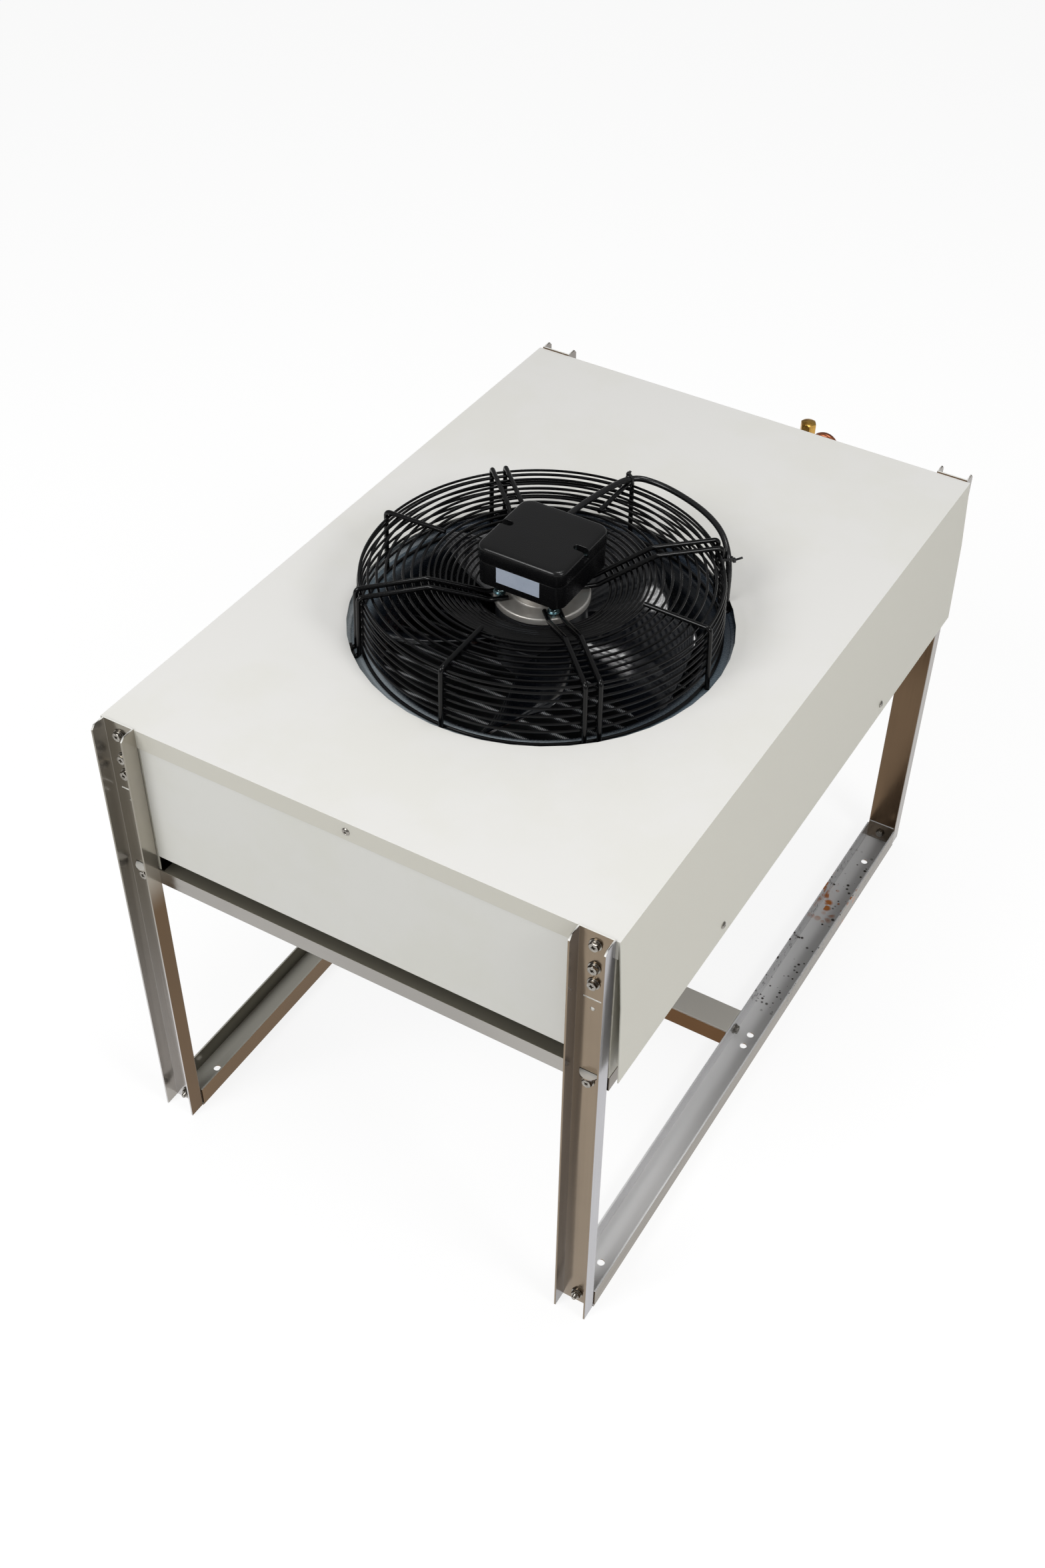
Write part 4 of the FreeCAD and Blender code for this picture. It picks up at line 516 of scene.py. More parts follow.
def rolled(name, stretch, front, side, roughness, upward=None, inner=None, centre=0.0,
        low_side=None, top_metal=0.1, back=None, low_front=None):
    """Rolled stainless with faint long grain, and painted reflection and shade in tones chosen by the
    face's direction. Faces towards -Y take the front tone, or low_front near the floor, and those
    towards +Y the back tone. Faces towards +X take the side tone right of the centre, or low_side near
    the floor, and the inner tone left of it. Faces that look up are rougher and duller, in the upward
    tone, which is painted light or shade."""
    finish = Finish(name, front, roughness, 1.0)
    grain = finish.effect("Grain", Stretch=stretch)["Value"]
    patches = finish.effect("Patches", Scale=4.0, Low=0.35, High=0.7)["Mask"]
    place = finish.split(finish.place)
    # Painted reflection and shade: the side, inner, low and back tones stand for what each face
    # mirrors and the shade on it, not for the steel's own colour.
    if low_side:
        side = finish.mixed(finish.ranged(place["Z"], 0.36, 0.44, 1.0, 0.0), side, low_side)
    if inner:
        outer = finish.ranged(place["X"], (centre - 5) * MM, (centre + 5) * MM)
        side = finish.mixed(outer, inner, side)
    if low_front:
        front = finish.mixed(finish.ranged(place["Z"], 0.12, 0.46, 1.0, 0.0), front, low_front)
    if back:
        front = finish.mixed(finish.facing(0, 1, 0), front, back)
    facing = finish.facing(1, 0, 0)
    tone = finish.mixed(facing, front, side)
    tone = finish.mixed(patches, tone, finish.darker(tone, 0.88))
    rough = finish.ranged(grain, 0.25, 0.75, roughness - 0.03, roughness + 0.05)
    metal = finish.ranged(facing, 0.0, 1.0, 1.0, 0.75)
    # Painted light and shade: faces that look up take the upward tone and less metal.
    if upward:
        top = finish.facing(0, 0, 1)
        tone = finish.mixed(top, tone, upward)
        rough = finish.maths("ADD", rough, finish.times(top, 0.18))
        metal = finish.times(metal, finish.ranged(top, 0.0, 1.0, 1.0, top_metal))
    finish.join("Metallic", metal)
    finish.join("Base Color", tone)
    finish.join("Roughness", rough)
    finish.join("Normal", finish.bump(grain, 0.00001, 0.3))
    return finish


def cast(name, colour, dark, roughness, metal, scale, depth, patch_scale=30.0, **plain):
    """Cast, moulded or drawn surface: fine dimples, with darker patches."""
    finish = Finish(name, colour, roughness, metal, **plain)
    patches = finish.effect("Patches", Scale=patch_scale)["Mask"]
    finish.join("Base Color", finish.mixed(patches, colour, dark))
    finish.dimpled(scale, depth, max(roughness - 0.06, 0.04), roughness + 0.08)
    return finish


def rusty_rail():
    """Stainless rail with painted shade that darkens it towards the back, under the casing, and with
    dark specks towards the back and a few spots of rust."""
    finish = rolled("rail_steel_rusty", ALONG_Y, (150, 136, 120), (126, 116, 100), 0.22,
            (236, 236, 236), (250, 250, 252), LEG_X, top_metal=0.05)
    along = finish.split(finish.place)["Y"]
    tone, metal = finish.joined("Base Color"), finish.joined("Metallic")
    # Painted shade: the rail darkens towards the back, where the casing shades it.
    tone = finish.mixed(finish.ranged(along, -0.1, 0.3), tone, finish.darker(tone, 0.8))
    for scale, size, share, near, far, colour in (
            (150.0, 0.46, 0.55, 0.06, 0.40, (46, 38, 32)),
            (90.0, 0.8, 0.75, 0.253, 0.313, (176, 104, 40))):
        zone = finish.times(finish.ranged(along, near - 0.02, near + 0.02),
                finish.ranged(along, far - 0.02, far + 0.02, 1.0, 0.0))
        specks = finish.effect("Specks", Scale=scale, Size=size, Share=share)["Mask"]
        spots = finish.times(specks, zone)
        tone = finish.mixed(spots, tone, colour)
        metal = finish.times(metal, finish.maths("SUBTRACT", 1.0, spots))
    finish.join("Base Color", tone)
    finish.join("Metallic", metal)
    return finish


def spangled():
    """Galvanised sheet: faint crystal cells, each with its own tone and gloss."""
    finish = Finish("galvanised_sheet", (206, 203, 190), 0.4, 0.05)
    tone = finish.cells(finish.place, 110.0)[1]["Red"]
    finish.join("Base Color", finish.mixed(tone, (200, 197, 183), (212, 210, 199)))
    finish.join("Roughness", finish.ranged(tone, 0.0, 1.0, 0.34, 0.44))
    finish.dimpled(260.0, 30)
    return finish


def cover_paint():
    """The casing's paint, with painted shade by facing: warmer and a little darker on the deep sides,
    and more so on the end flanges, for how the light falls on them.
    """
    finish = painted("cover_paint", (233, 232, 229), (231, 230, 225), 0.42, 30, 700.0,
            Specular_IOR_Level=0.4)
    tone = finish.joined("Base Color")
    # Painted shade: faces towards +X and -X, then towards +Y and -Y, take darker, warmer tones of the
    # same paint.
    for way in (1, -1):
        tone = finish.mixed(finish.facing(way, 0, 0), tone, (229, 228, 218))
    for way in (1, -1):
        tone = finish.mixed(finish.facing(0, way, 0), tone, (214, 213, 204))
    finish.join("Base Color", tone)
    return finish


def fin_foil():
    """Bare fin foil with painted highlights: the crests of its corrugations, one tube pitch apart
    along Y, are painted bright and less metallic where the glints show, and the flanks between them
    dull."""
    finish = Finish("fin_foil", (120, 122, 124), 0.3, 1.0)
    first_tube, tube_pitch = 0.093, 0.0254
    along = finish.maths("ADD", finish.split(finish.place)["Y"], first_tube)
    pitches = finish.maths("DIVIDE", along, tube_pitch)
    share = finish.maths("FRACT", finish.maths("ADD", pitches, 0.5))
    away = finish.maths("ABSOLUTE", finish.maths("SUBTRACT", share, 0.5))
    # Painted highlight: bright bands along the crests stand in for their glints.
    crest_highlight = finish.ranged(away, 0.03, 0.09, 1.0, 0.0)
    finish.join("Base Color", finish.mixed(crest_highlight, (84, 86, 88), (236, 238, 240)))
    finish.join("Metallic", finish.ranged(crest_highlight, 0.0, 1.0, 1.0, 0.25))
    finish.dimpled(300.0, 20)
    return finish


def ring_paint():
    """Glossy paint with painted light and shade that follow the distance from the fan's axis: painted
    shade makes it dark navy in the mouth and throat; the seat is blue-grey, with a painted reflection
    that makes it pale towards the front and painted shade that makes it dark towards the back."""
    finish = Finish("ring_paint", (120, 133, 142), 0.26, Specular_IOR_Level=0.5)
    place = finish.vectors("SUBTRACT", finish.place, tuple(FAN * MM))[0]
    flat = finish.vectors("MULTIPLY", place, (1, 1, 0))[0]
    reach = finish.vectors("LENGTH", flat)["Value"]
    along = finish.split(place)["Y"]
    # Painted reflection and shade: the seat and rim are pale towards the front and dark towards the
    # back.
    shaded_back = finish.ranged(along, -0.02, 0.12)
    before = finish.ranged(along, -0.18, -0.09, 1.0, 0.0)
    lit_front_seat = finish.mixed(before, (108, 122, 132), (196, 207, 214))
    seat = finish.mixed(shaded_back, lit_front_seat, (34, 41, 50))
    # Painted shade: dark navy in the mouth and throat.
    tone = finish.mixed(finish.ranged(reach, 0.186, 0.203), (12, 16, 23), seat)
    rim = finish.mixed(shaded_back, (192, 200, 204), (52, 60, 70))
    tone = finish.mixed(finish.ranged(reach, 0.2085, 0.211), tone, rim)
    patches = finish.times(finish.effect("Patches", Scale=9.0)["Mask"], 0.06)
    finish.join("Base Color", finish.mixed(patches, tone, (96, 109, 119)))
    finish.dimpled(500.0, 20, 0.22, 0.32)
    return finish


CREAM = painted("cream_paint", (227, 228, 225), (225, 226, 221), 0.42, 30, 700,
        Specular_IOR_Level=0.4)
COVER_PAINT = cover_paint()
RING_PAINT = ring_paint()
BLACK_GLOSS = painted("blade_paint", (14, 17, 23), (11, 13, 18), 0.12, 30, 300,
        Specular_IOR_Level=0.6, Coat_Weight=0.6, Coat_Roughness=0.08)
MOTOR_BLACK = cast("motor_black", (40, 41, 44), (32, 33, 36), 0.35, 0.0, 900, 40, 40)
BLACK_WIRE = painted("black_wire", (5, 5, 6), (7, 7, 8), 0.15, 20, 900, Specular_IOR_Level=0.3)
# Painted light: the pale tone given to the legs' upward faces, such as the lit lower cut face in each
# slit.
PAINTED_TOP_LIGHT = (236, 235, 230)
ALONG_X, ALONG_Y, ALONG_Z = (6, 350, 350), (350, 6, 350), (350, 350, 6)
# Painted reflection and shade: the leg steels are copies of one stainless. Their facing tones stand
# for what each face mirrors: brown where it mirrors the floor, paler where it mirrors open space, dark
# on the inner faces of the channels. The left front leg and the back legs take their own copies for
# their own reflections.
LEG_STEEL = rolled("leg_steel", ALONG_Z, (141, 126, 108), (176, 175, 180), 0.18,
        PAINTED_TOP_LIGHT, (134, 130, 130), LEG_X)
LEFT_STEEL = rolled("left_leg_steel", ALONG_Z, (150, 145, 134), (178, 172, 160), 0.18,
        PAINTED_TOP_LIGHT, (172, 167, 160), -LEG_X, (98, 71, 35), low_front=(206, 203, 202))
BACK_STEEL = rolled("back_leg_steel", ALONG_Z, (112, 92, 72), (150, 144, 138), 0.2,
        PAINTED_TOP_LIGHT, back=(150, 143, 134))
# Painted reflection and shade: these steels also take facing tones, brown on faces that mirror the
# floor, and their own tone on faces that look up for the light or shade that falls there.
RAIL_STEEL = rolled("rail_steel", ALONG_Y, (150, 132, 112), (108, 79, 40), 0.22,
        (196, 194, 184), (140, 137, 126), -LEG_X)
RUSTY_RAIL = rusty_rail()
BAR_STEEL = rolled("bar_steel", ALONG_X, (166, 163, 158), (166, 164, 160), 0.2,
        (122, 118, 106), top_metal=0.5)
CROSS_STEEL = rolled("cross_steel", ALONG_X, (106, 76, 48), (150, 146, 140), 0.22, (220, 216, 207))
# Painted shade: the coil channels take a dark tone for the dark cavity they sit in.
CHANNEL_STEEL = rolled("channel_steel", ALONG_Y, (88, 78, 68), (126, 118, 108), 0.3)
GALVANISED = spangled()
BOLT_STEEL = cast("bolt_steel", (168, 164, 157), (140, 136, 130), 0.26, 1.0, 900, 10, 300)
ZINC_SCREW = cast("zinc_screw", (150, 176, 182), (112, 130, 130), 0.28, 1.0, 900, 30, 300)
FIN_FOIL = fin_foil()
COPPER = cast("copper_tube", (196, 122, 88), (140, 84, 60), 0.3, 1.0, 400, 30, 45)
BRASS = cast("brass_fitting", (206, 164, 88), (160, 118, 52), 0.26, 1.0, 500, 30, 90)
VALVE_STEEL = cast("valve_steel", (186, 186, 186), (150, 150, 150), 0.3, 1.0, 600, 20)
MOTOR_METAL = cast("motor_metal", (196, 193, 188), (184, 180, 174), 0.42, 0.7, 1400, 50, 60)
CAGE_METAL = cast("cage_metal", (170, 172, 174), (140, 142, 144), 0.45, 1.0, 900, 40)
CORE_STEEL = cast("core_steel", (120, 120, 122), (88, 86, 84), 0.45, 1.0, 600, 40)
BOX_PLASTIC = cast("box_plastic", (15, 15, 16), (12, 12, 13), 0.24, 0.0, 1500, 20, 12,
        Specular_IOR_Level=0.35)
TIE_NYLON = cast("tie_nylon", (16, 16, 17), (20, 20, 22), 0.35, 0.0, 900, 30)
CABLE_RUBBER = cast("cable_rubber", (10, 10, 12), (14, 14, 16), 0.26, 0.0, 700, 50, 60)
PALE_PLASTIC = cast("pale_plastic", (214, 212, 200), (200, 197, 184), 0.45, 0.0, 700, 30)
# Painted light: a near-white, non-metal tone for the tabs and pegs that stand in for the lit faces in
# the legs' slits and holes.
PAINTED_SLIT_LIGHT = cast("painted_slit_light", (246, 246, 243), (222, 222, 216), 0.45, 0.0, 300, 20)
LABEL_FILM = cast("label_film", (188, 198, 214), (180, 191, 208), 0.32, 0.0, 500, 20, 40)


# Camera, light and floor


def photo_camera():
    """The camera of the photograph: its place, the direction that it looks in, and its roll."""
    turn, drop, roll = np.radians([28.302, 44.188, 2.176])
    data = bpy.data.cameras.new("photo_camera")
    data.sensor_width = 36
    data.lens = 41.95
    data.shift_x = -0.0316
    data.shift_y = 0.0356
    data.clip_start = 0.05
    camera = in_scene("photo_camera", data)
    look = Vector((-math.sin(turn) * math.cos(drop), math.cos(turn) * math.cos(drop),
            -math.sin(drop)))
    facing = look.to_track_quat("-Z", "Y").to_matrix() @ Matrix.Rotation(roll, 3, "Z")
    camera.matrix_world = Matrix.Translation((0.800, -1.465, 1.850)) @ facing.to_4x4()
    bpy.context.scene.camera = camera


def studio():
    """A pale floor whose picture is white in camera, mirror and glass rays, a dim world that is
    brighter overhead, and three round lamps: front left, overhead and right."""
    sheet = bpy.data.meshes.new("floor")
    sheet.from_pydata([(-9, -9, 0), (9, -9, 0), (9, 9, 0), (-9, 9, 0)], [], [(0, 1, 2, 3)])
    floor = in_scene("floor", sheet)
    material = bpy.data.materials.new("floor_white")
    material.use_nodes = True
    tree = Tree(material.node_tree)
    path = tree.add("LightPath")
    mirrored = tree.maths("MAXIMUM", path["Is Glossy Ray"], path["Is Transmission Ray"])
    seen = tree.maths("MAXIMUM", path["Is Camera Ray"], mirrored)
    bounce = tree.add("BsdfDiffuse", {"Color": linear((225, 221, 214))})[0]
    faint = tree.add("BsdfDiffuse", {"Color": (0.2, 0.2, 0.2, 1)})[0]
    glow = tree.add("Emission", {"Color": (1, 1, 1, 1), "Strength": 0.86})[0]
    white = tree.add("AddShader", {0: faint, 1: glow})[0]
    shown = tree.add("MixShader", {0: seen, 1: bounce, 2: white})[0]
    below = tree.add("NewGeometry")["Backfacing"]
    clear = tree.add("BsdfTransparent")[0]
    whole = tree.add("MixShader", {0: below, 1: shown, 2: clear})[0]
    tree.add("OutputMaterial", {"Surface": whole})
    floor.data.materials.append(material)
    floor.location.z = -0.0005

    world = bpy.data.worlds.new("studio")
    world.use_nodes = True
    bpy.context.scene.world = world
    tree = Tree(world.node_tree)
    height = tree.split(tree.add("TexCoord")["Generated"])["Z"]
    overhead = tree.ranged(height, 0.0, 0.9)
    colour = tree.mixed(overhead, (0.27, 0.27, 0.275, 1), (0.33, 0.33, 0.325, 1))
    seen = tree.add("LightPath")["Is Camera Ray"]
    colour = tree.mixed(seen, colour, (1, 1, 1, 1))
    back = tree.add("Background", {"Color": colour, "Strength": 1.0})[0]
    tree.add("OutputWorld", {"Surface": back})

    for name, place, aim, size, power in (
            ("front_lamp", (-1.0, -2.6, 2.9), (0, 0, 0.4), 1.8, 57.0),
            ("top_lamp", (0.35, 0.3, 3.4), (0, 0, 0.5), 0.9, 20.0),
            ("right_lamp", (2.5, -0.8, 2.7), (0, 0, 0.4), 1.1, 29.0)):
        data = bpy.data.lights.new(name, "AREA")
        data.shape = "DISK"
        data.size = size
        data.energy = power
        turned = (Vector(aim) - Vector(place)).to_track_quat("-Z", "Y").to_matrix().to_4x4()
        in_scene(name, data).matrix_world = Matrix.Translation(place) @ turned


# Casing and frame


def sheet_metal():
    """The pressed sheets, each with its own thickness and bend."""
    pressed("top_cover", COVER_PAINT, 1.2, 2.2)
    for end in ("front", "back"):
        pressed(end + "_panel", CREAM, 1.2, 2.0)
        pressed(end + "_crossbar", BAR_STEEL, 2, 3.2)
        pressed("fan_beam_" + end, GALVANISED, 1.5, 2.5)
        # The left front leg and the back legs take steel copies with their own painted reflection and
        # shade.
        for side, steel in (("left", LEFT_STEEL), ("right", LEG_STEEL)):
            pressed(f"leg_{end}_{side}", steel if end == "front" else BACK_STEEL, 2, 3.2)
    for side, steel in (("left", RAIL_STEEL), ("right", RUSTY_RAIL)):
        pressed("base_rail_" + side, steel, 2, 3.2)
        pressed("side_frame_" + side, GALVANISED, 1.5, 6)
        pressed("coil_channel_" + side, CHANNEL_STEEL, 1.5, 2.5)
    pressed("base_cross_member", CROSS_STEEL, 2, 3.2)


def small_dress():
    """Painted light and shadow: a pale tab in each leg's slit and a domed peg in its hole, which stand
    in for the lit faces seen there, and a dark strip under each end flange that stands in for its
    shadow line."""
    tab, tab_z, peg_z = slab(21.6, 1.7, 1.9), 529, 515
    peg = lathe([(0, 0), (2.3, 0), (2.3, 1.3), (1.5, 1.8), (0, 1.95)], segments=32)
    shapes = []
    for side in (-1, 1):
        for end in (-1, 1):
            x, y = side * LEG_X, end * CASE_HALF
            shapes.append(laid(peg, (x, y, peg_z), Y_WAY * end))
            shapes.append(laid(tab, (x, y, tab_z), Y_WAY * end))
    # Painted light: the pale tabs and pegs fill the slits and holes where lit cut faces show.
    piece = new_piece("leg_slit_and_hole_light", shapes, PAINTED_SLIT_LIGHT)
    bevel(piece, 0.2)
    # Painted shadow: a thin dark strip under each end flange stands in for the shadow line between
    # flange and panel.
    shadow_line, flange_face, flange_edge = slab(518, 0.5, 0.5), CASE_HALF - 1.2, 595.7
    shadow_lines = [laid(shadow_line, (0, end * flange_face, flange_edge), Y_WAY * end) for end in (-1, 1)]
    piece = new_piece("flange_shadow_lines", shadow_lines, CABLE_RUBBER)


def cross_slot(angle, reach, waist):
    """Reach of a four-armed recess over the angle."""
    return waist + (reach - waist) * np.abs(np.cos(2 * angle)) ** 3


def hexagon_reach(angle, flats):
    """Radius of a hexagon over the angle: half its flats over the cosine of the angle from the
    nearest flat."""
    return flats / 2 / np.cos((angle + math.pi / 6) % (math.pi / 3) - math.pi / 6)


def hex_bolt(shank):
    """A hexagon bolt from its seat upwards: flat washer, spring washer, head with chamfered
    corners and a four-lobed recess; its shank goes down."""
    angle = turns(48)
    corner = hexagon_reach(angle, BOLT_FLATS)
    cap = np.minimum(corner, BOLT_CORNER)
    slot = cross_slot(angle, 2.6, 1.5)
    head = stacked([(0, 2.3), (cap * 0.97, 2.3), (corner, 2.7), (corner, 4.6), (cap * 0.97, 5.3),
            (cap * 0.86, 5.4), (slot * 1.12, 5.35), (slot, 5.1), (slot * 0.92, 3.2),
            (0, 2.9)], angle)
    washer = lathe([(0, 0), (6.8, 0), (7, 0.15), (7, 0.95), (6.8, 1.1), (0, 1.1)], segments=40)
    spring = lathe([(0, 1.1), (5.3, 1.1), (5.5, 1.3), (5.5, 2.1), (5.3, 2.3), (0, 2.3)],
            segments=40)
    stem = lathe([(0, -shank), (2.7, -shank), (3, 0.4 - shank), (3, 0), (0, 0)], segments=24)
    return [head, washer, spring, stem]


def foot_bolt(grip):
    """A bolt turned nut outwards: washer and nut on the seat, thread end beyond it with its
    turns as ridges, hexagon head on the far side."""
    angle = turns(48)
    corner = hexagon_reach(angle, BOLT_FLATS)
    cap = np.minimum(corner, BOLT_CORNER)
    nut = stacked([(3, 1.4), (cap * 0.97, 1.4), (corner, 1.9), (corner, 4.9), (cap * 0.97, 5.4),
            (3.6, 5.4), (3, 5.0)], angle)
    washer = lathe([(3, 0), (6.8, 0), (7, 0.2), (7, 1.2), (6.8, 1.4), (3, 1.4)], segments=40)
    ridges = [(2.65 if k % 2 else 3, 1.0 + 0.5 * k) for k in range(16)]
    stem = lathe([(0, -grip), (3, -grip), *ridges, (2.4, 9.4), (0, 9.4)], segments=32)
    head = stacked([(0, -grip), (corner, -grip), (corner, -grip - 3.4), (cap * 0.95, -grip - 4),
            (0, -grip - 4)], angle)
    return [nut, washer, stem, head]


def round_screw(shank):
    """A low round-headed screw with a cross recess: its crown falls off as 1 - r to the third
    power."""
    head, rise, flat = 4.4, 2, 0.62
    angle = turns(40)
    slot = cross_slot(angle, 2.1, 0.7)
    crown = [(head * s, rise * (0.25 + 0.75 * (1 - s ** 3) / (1 - flat ** 3)))
            for s in np.linspace(1, flat, 6)]
    cup = stacked([(0, 0), (head, 0), *crown, (slot * 1.1, rise), (slot, rise * 0.9),
            (slot * 0.75, rise * 0.3), (0, rise * 0.15)], angle)
    stem = lathe([(0, -shank), (1.6, -shank), (2, 0.6 - shank), (2, 0), (0, 0)], segments=20)
    return [cup, stem]


def set_down(shapes, spots):
    """The shapes at each spot: its seat, the direction of its own Z axis and its turn."""
    return [laid(shape, seat, axis, spin) for seat, axis, spin in spots for shape in shapes]


def fasteners():
    """All bolts and screws, each group one piece like its node. The leg bolts are turned one
    after the other by turn_step, as hand-driven bolts end anyhow."""
    turn, turn_step = 0.0, 0.7
    half_width, flare, bow = 305, 8, 5.5
    side_depth, bow_drop, screw_rise = 201, 90.5, 18
    side_screw_x = half_width + flare - (flare - bow) * screw_rise / (side_depth - bow_drop) + 0.2
    side_screw_y, side_screw_z, end_screw_z = 214, 437, 608
    foot_z, cross_seat, cross_y, cross_z = 16, 262, 2, 14
    plate_hole, plate_low, arm_hole, arm_top, lid_hole = 234.5, 615.8, 47.5, 663.8, 45.5
    leg_spots, foot_spots, side_spots = [], [], []
    for end in (-1, 1):
        for side in (-1, 1):
            x, y = side * LEG_X, end * LEG_FACE
            for height in LEG_BOLT_HEIGHTS:
                turn += turn_step
                leg_spots.append(((x, y, height), Y_WAY * end, turn))
            foot_spots.append(((x, y, foot_z), Y_WAY * end, turn))
            seat = (side * side_screw_x, end * side_screw_y, side_screw_z)
            side_spots.append((seat, X_WAY * side, turn))
    cross_spots = [((side * cross_seat, cross_y, cross_z), X_WAY * side, 0.4) for side in (-1, 1)]
    end_spots = [((0, end * CASE_HALF, end_screw_z), Y_WAY * end, 0.5) for end in (-1, 1)]
    plate_spots = [(FAN + [x * plate_hole, y * plate_hole, plate_low], -Z_WAY, 0.3)
            for x in (-1, 1) for y in (-1, 1)]
    motor_spots = [(fan_point(a, arm_hole, arm_top), Z_WAY, math.radians(a)) for a in CORNERS]
    lid_spots = [(FAN + [side * lid_hole, 0, NOTCH_Z], Z_WAY, 0.6) for side in (-1, 1)]
    for name, shapes, finish, node in (
            ("leg_bolts_dressed", set_down(hex_bolt(10), leg_spots), BOLT_STEEL, "leg_bolts"),
            ("base_bolts_dressed",
            set_down(foot_bolt(4), foot_spots) + set_down(hex_bolt(4), cross_spots),
            BOLT_STEEL, "base_bolts"),
            ("cover_screws_dressed",
            set_down(round_screw(14), side_spots) + set_down(round_screw(8), end_spots),
            BOLT_STEEL, "cover_screws"),
            ("plate_screws_dressed", set_down(round_screw(3), plate_spots), BOLT_STEEL,
            "fan_plate_screws"),
            ("motor_screws_dressed",
            set_down(hex_bolt(5.65), motor_spots) + set_down(round_screw(18), lid_spots),
            ZINC_SCREW, "motor_screws")):
        new_piece(name, shapes, finish, (node,), crease=30)


# Fan, guard and motor


def wall_ring():
    """Blue-grey ring: a dished seat with two pressed beads, a rounded mouth and a throat, on a
    square plate with a round window."""
    throat, mouth, seat, plate_low, plate_top = 179, 197, 221, 617.3, 618.8
    upper = [(233, plate_top), *arc((seat + 2.5, plate_top - 2.5), 2.5, 90, 180, 5),
            *arc((seat - 3, SEAT_Z + 3), 3, 0, -90, 6), (213.6, 608), (212.8, 607.2),
            (211.4, 606.8), (210, 607.2), (209.2, 608), *arc((mouth, 590), 18, 90, 180, 14),
            (throat, 547), (throat + 0.75, 545)]
    lower = [(throat + 1.5, 547), *arc((mouth, 590), 16.5, 180, 90, 14), (208.6, 606.5),
            (209.8, 605.6), (211.4, 605.3), (213, 605.6), (214.2, 606.5),
            *arc((seat - 3, SEAT_Z + 3), 4.5, -90, 0, 6), *arc((seat + 2.5, 616.3), 1, 180, 90, 5),
            (233, plate_low)]
    dish = lathe(upper + lower + upper[:1], FAN, 256)
    half, window = 246, 227
    angle = turns(128)
    edge = half / np.maximum(np.abs(np.cos(angle)), np.abs(np.sin(angle)))
    plate = stacked([(window, plate_low), (edge, plate_low), (edge, plate_top),
            (window, plate_top), (window, plate_low)], angle, FAN)
    new_piece("wall_ring_dressed", [dish, plate], RING_PAINT, ("fan_wall_ring",), crease=40)


def guard():
    """Wire guard: hoops in three groups, four pairs of bent arms, four single ribs, clips."""
    step = WIRE + ARM + WELD
    rise = KNEE_RISE / (GUARD_RIM - KNEE)
    knee_z = GUARD_TOP + KNEE_RISE
    inner_z = MOTOR_FACE + ARM + WELD
    inner_r = 1.12 * MOTOR_RADIUS
    slope = (knee_z - inner_z) / (KNEE - inner_r)
    lean = (GUARD_FOOT - GUARD_RIM) / (GUARD_TOP - SEAT_Z)
    base_wire = 2
    top_rings = [hoop(r, GUARD_TOP + rise * (GUARD_RIM - r) - step, WIRE)
            for r in np.arange(GUARD_RIM - step - WIRE / 2, KNEE, -9.45)]
    slope_rings = [hoop(r, knee_z - (KNEE - r) * slope - step * math.hypot(1, slope), WIRE)
            for r in KNEE - 3 - 6.1 * np.arange(9)]
    side_rings = [hoop(GUARD_RIM + lean * (GUARD_TOP - z) - step, z, WIRE)
            for z in GUARD_TOP - step - 6 - 9.9 * np.arange(6)]
    side_rings.append(hoop(GUARD_FOOT - ARM - base_wire - WELD, SEAT_Z + base_wire + WELD,
            base_wire))
    for group, rings in (("top", top_rings), ("slope", slope_rings), ("side", side_rings)):
        new_piece(f"guard_{group}_dressed", rings, BLACK_WIRE, (f"guard_{group}_rings",))

    foot_z = SEAT_Z + ARM + WELD
    clip_long, clip_sheet = 9, 1.5
    corners = [(CLIP_R + clip_long / 2, 0, foot_z), (GUARD_FOOT, 0, foot_z),
            (GUARD_RIM, 0, GUARD_TOP), (KNEE, 0, knee_z), (inner_r, 0, inner_z),
            (0.75 * MOTOR_RADIUS, 0, inner_z)]
    line = rounded(corners, [4.5, 2 * ARM, 14, 14])
    arms = [about_fan(tube(line + Y_WAY * (side * ARM_SPACING / 2), ARM, Y_WAY), degrees)
            for degrees in CORNERS for side in (-1, 1)]
    new_piece("guard_arms_dressed", arms, BLACK_WIRE, ("guard_double_arms",), crease=60)
    corners = [(GUARD_FOOT, 0, SEAT_Z + 2 * WELD), (GUARD_RIM, 0, GUARD_TOP),
            (KNEE - WIRE, 0, knee_z)]
    rib = tube(rounded(corners, [2 * ARM]), ARM, Y_WAY)
    ribs = [about_fan(rib, 90 * k) for k in range(4)]
    new_piece("guard_ribs_dressed", ribs, BLACK_WIRE, ("guard_single_ribs",), crease=60)

    clip_z = foot_z + ARM + WELD
    points, quads = slab(clip_long, ARM_SPACING + 2 * ARM, clip_sheet)
    clip = (points + [CLIP_R, 0, clip_z], quads)
    clips = [about_fan(clip, degrees) for degrees in CORNERS]
    screw_z = clip_z + clip_sheet
    clips += set_down(round_screw(screw_z - SEAT_Z),
            [(fan_point(a, CLIP_R, screw_z), Z_WAY, math.radians(a)) for a in CORNERS])
    bevel(new_piece("guard_clips_dressed", clips, BLACK_WIRE, ("guard_clips",), crease=30), 0.4)


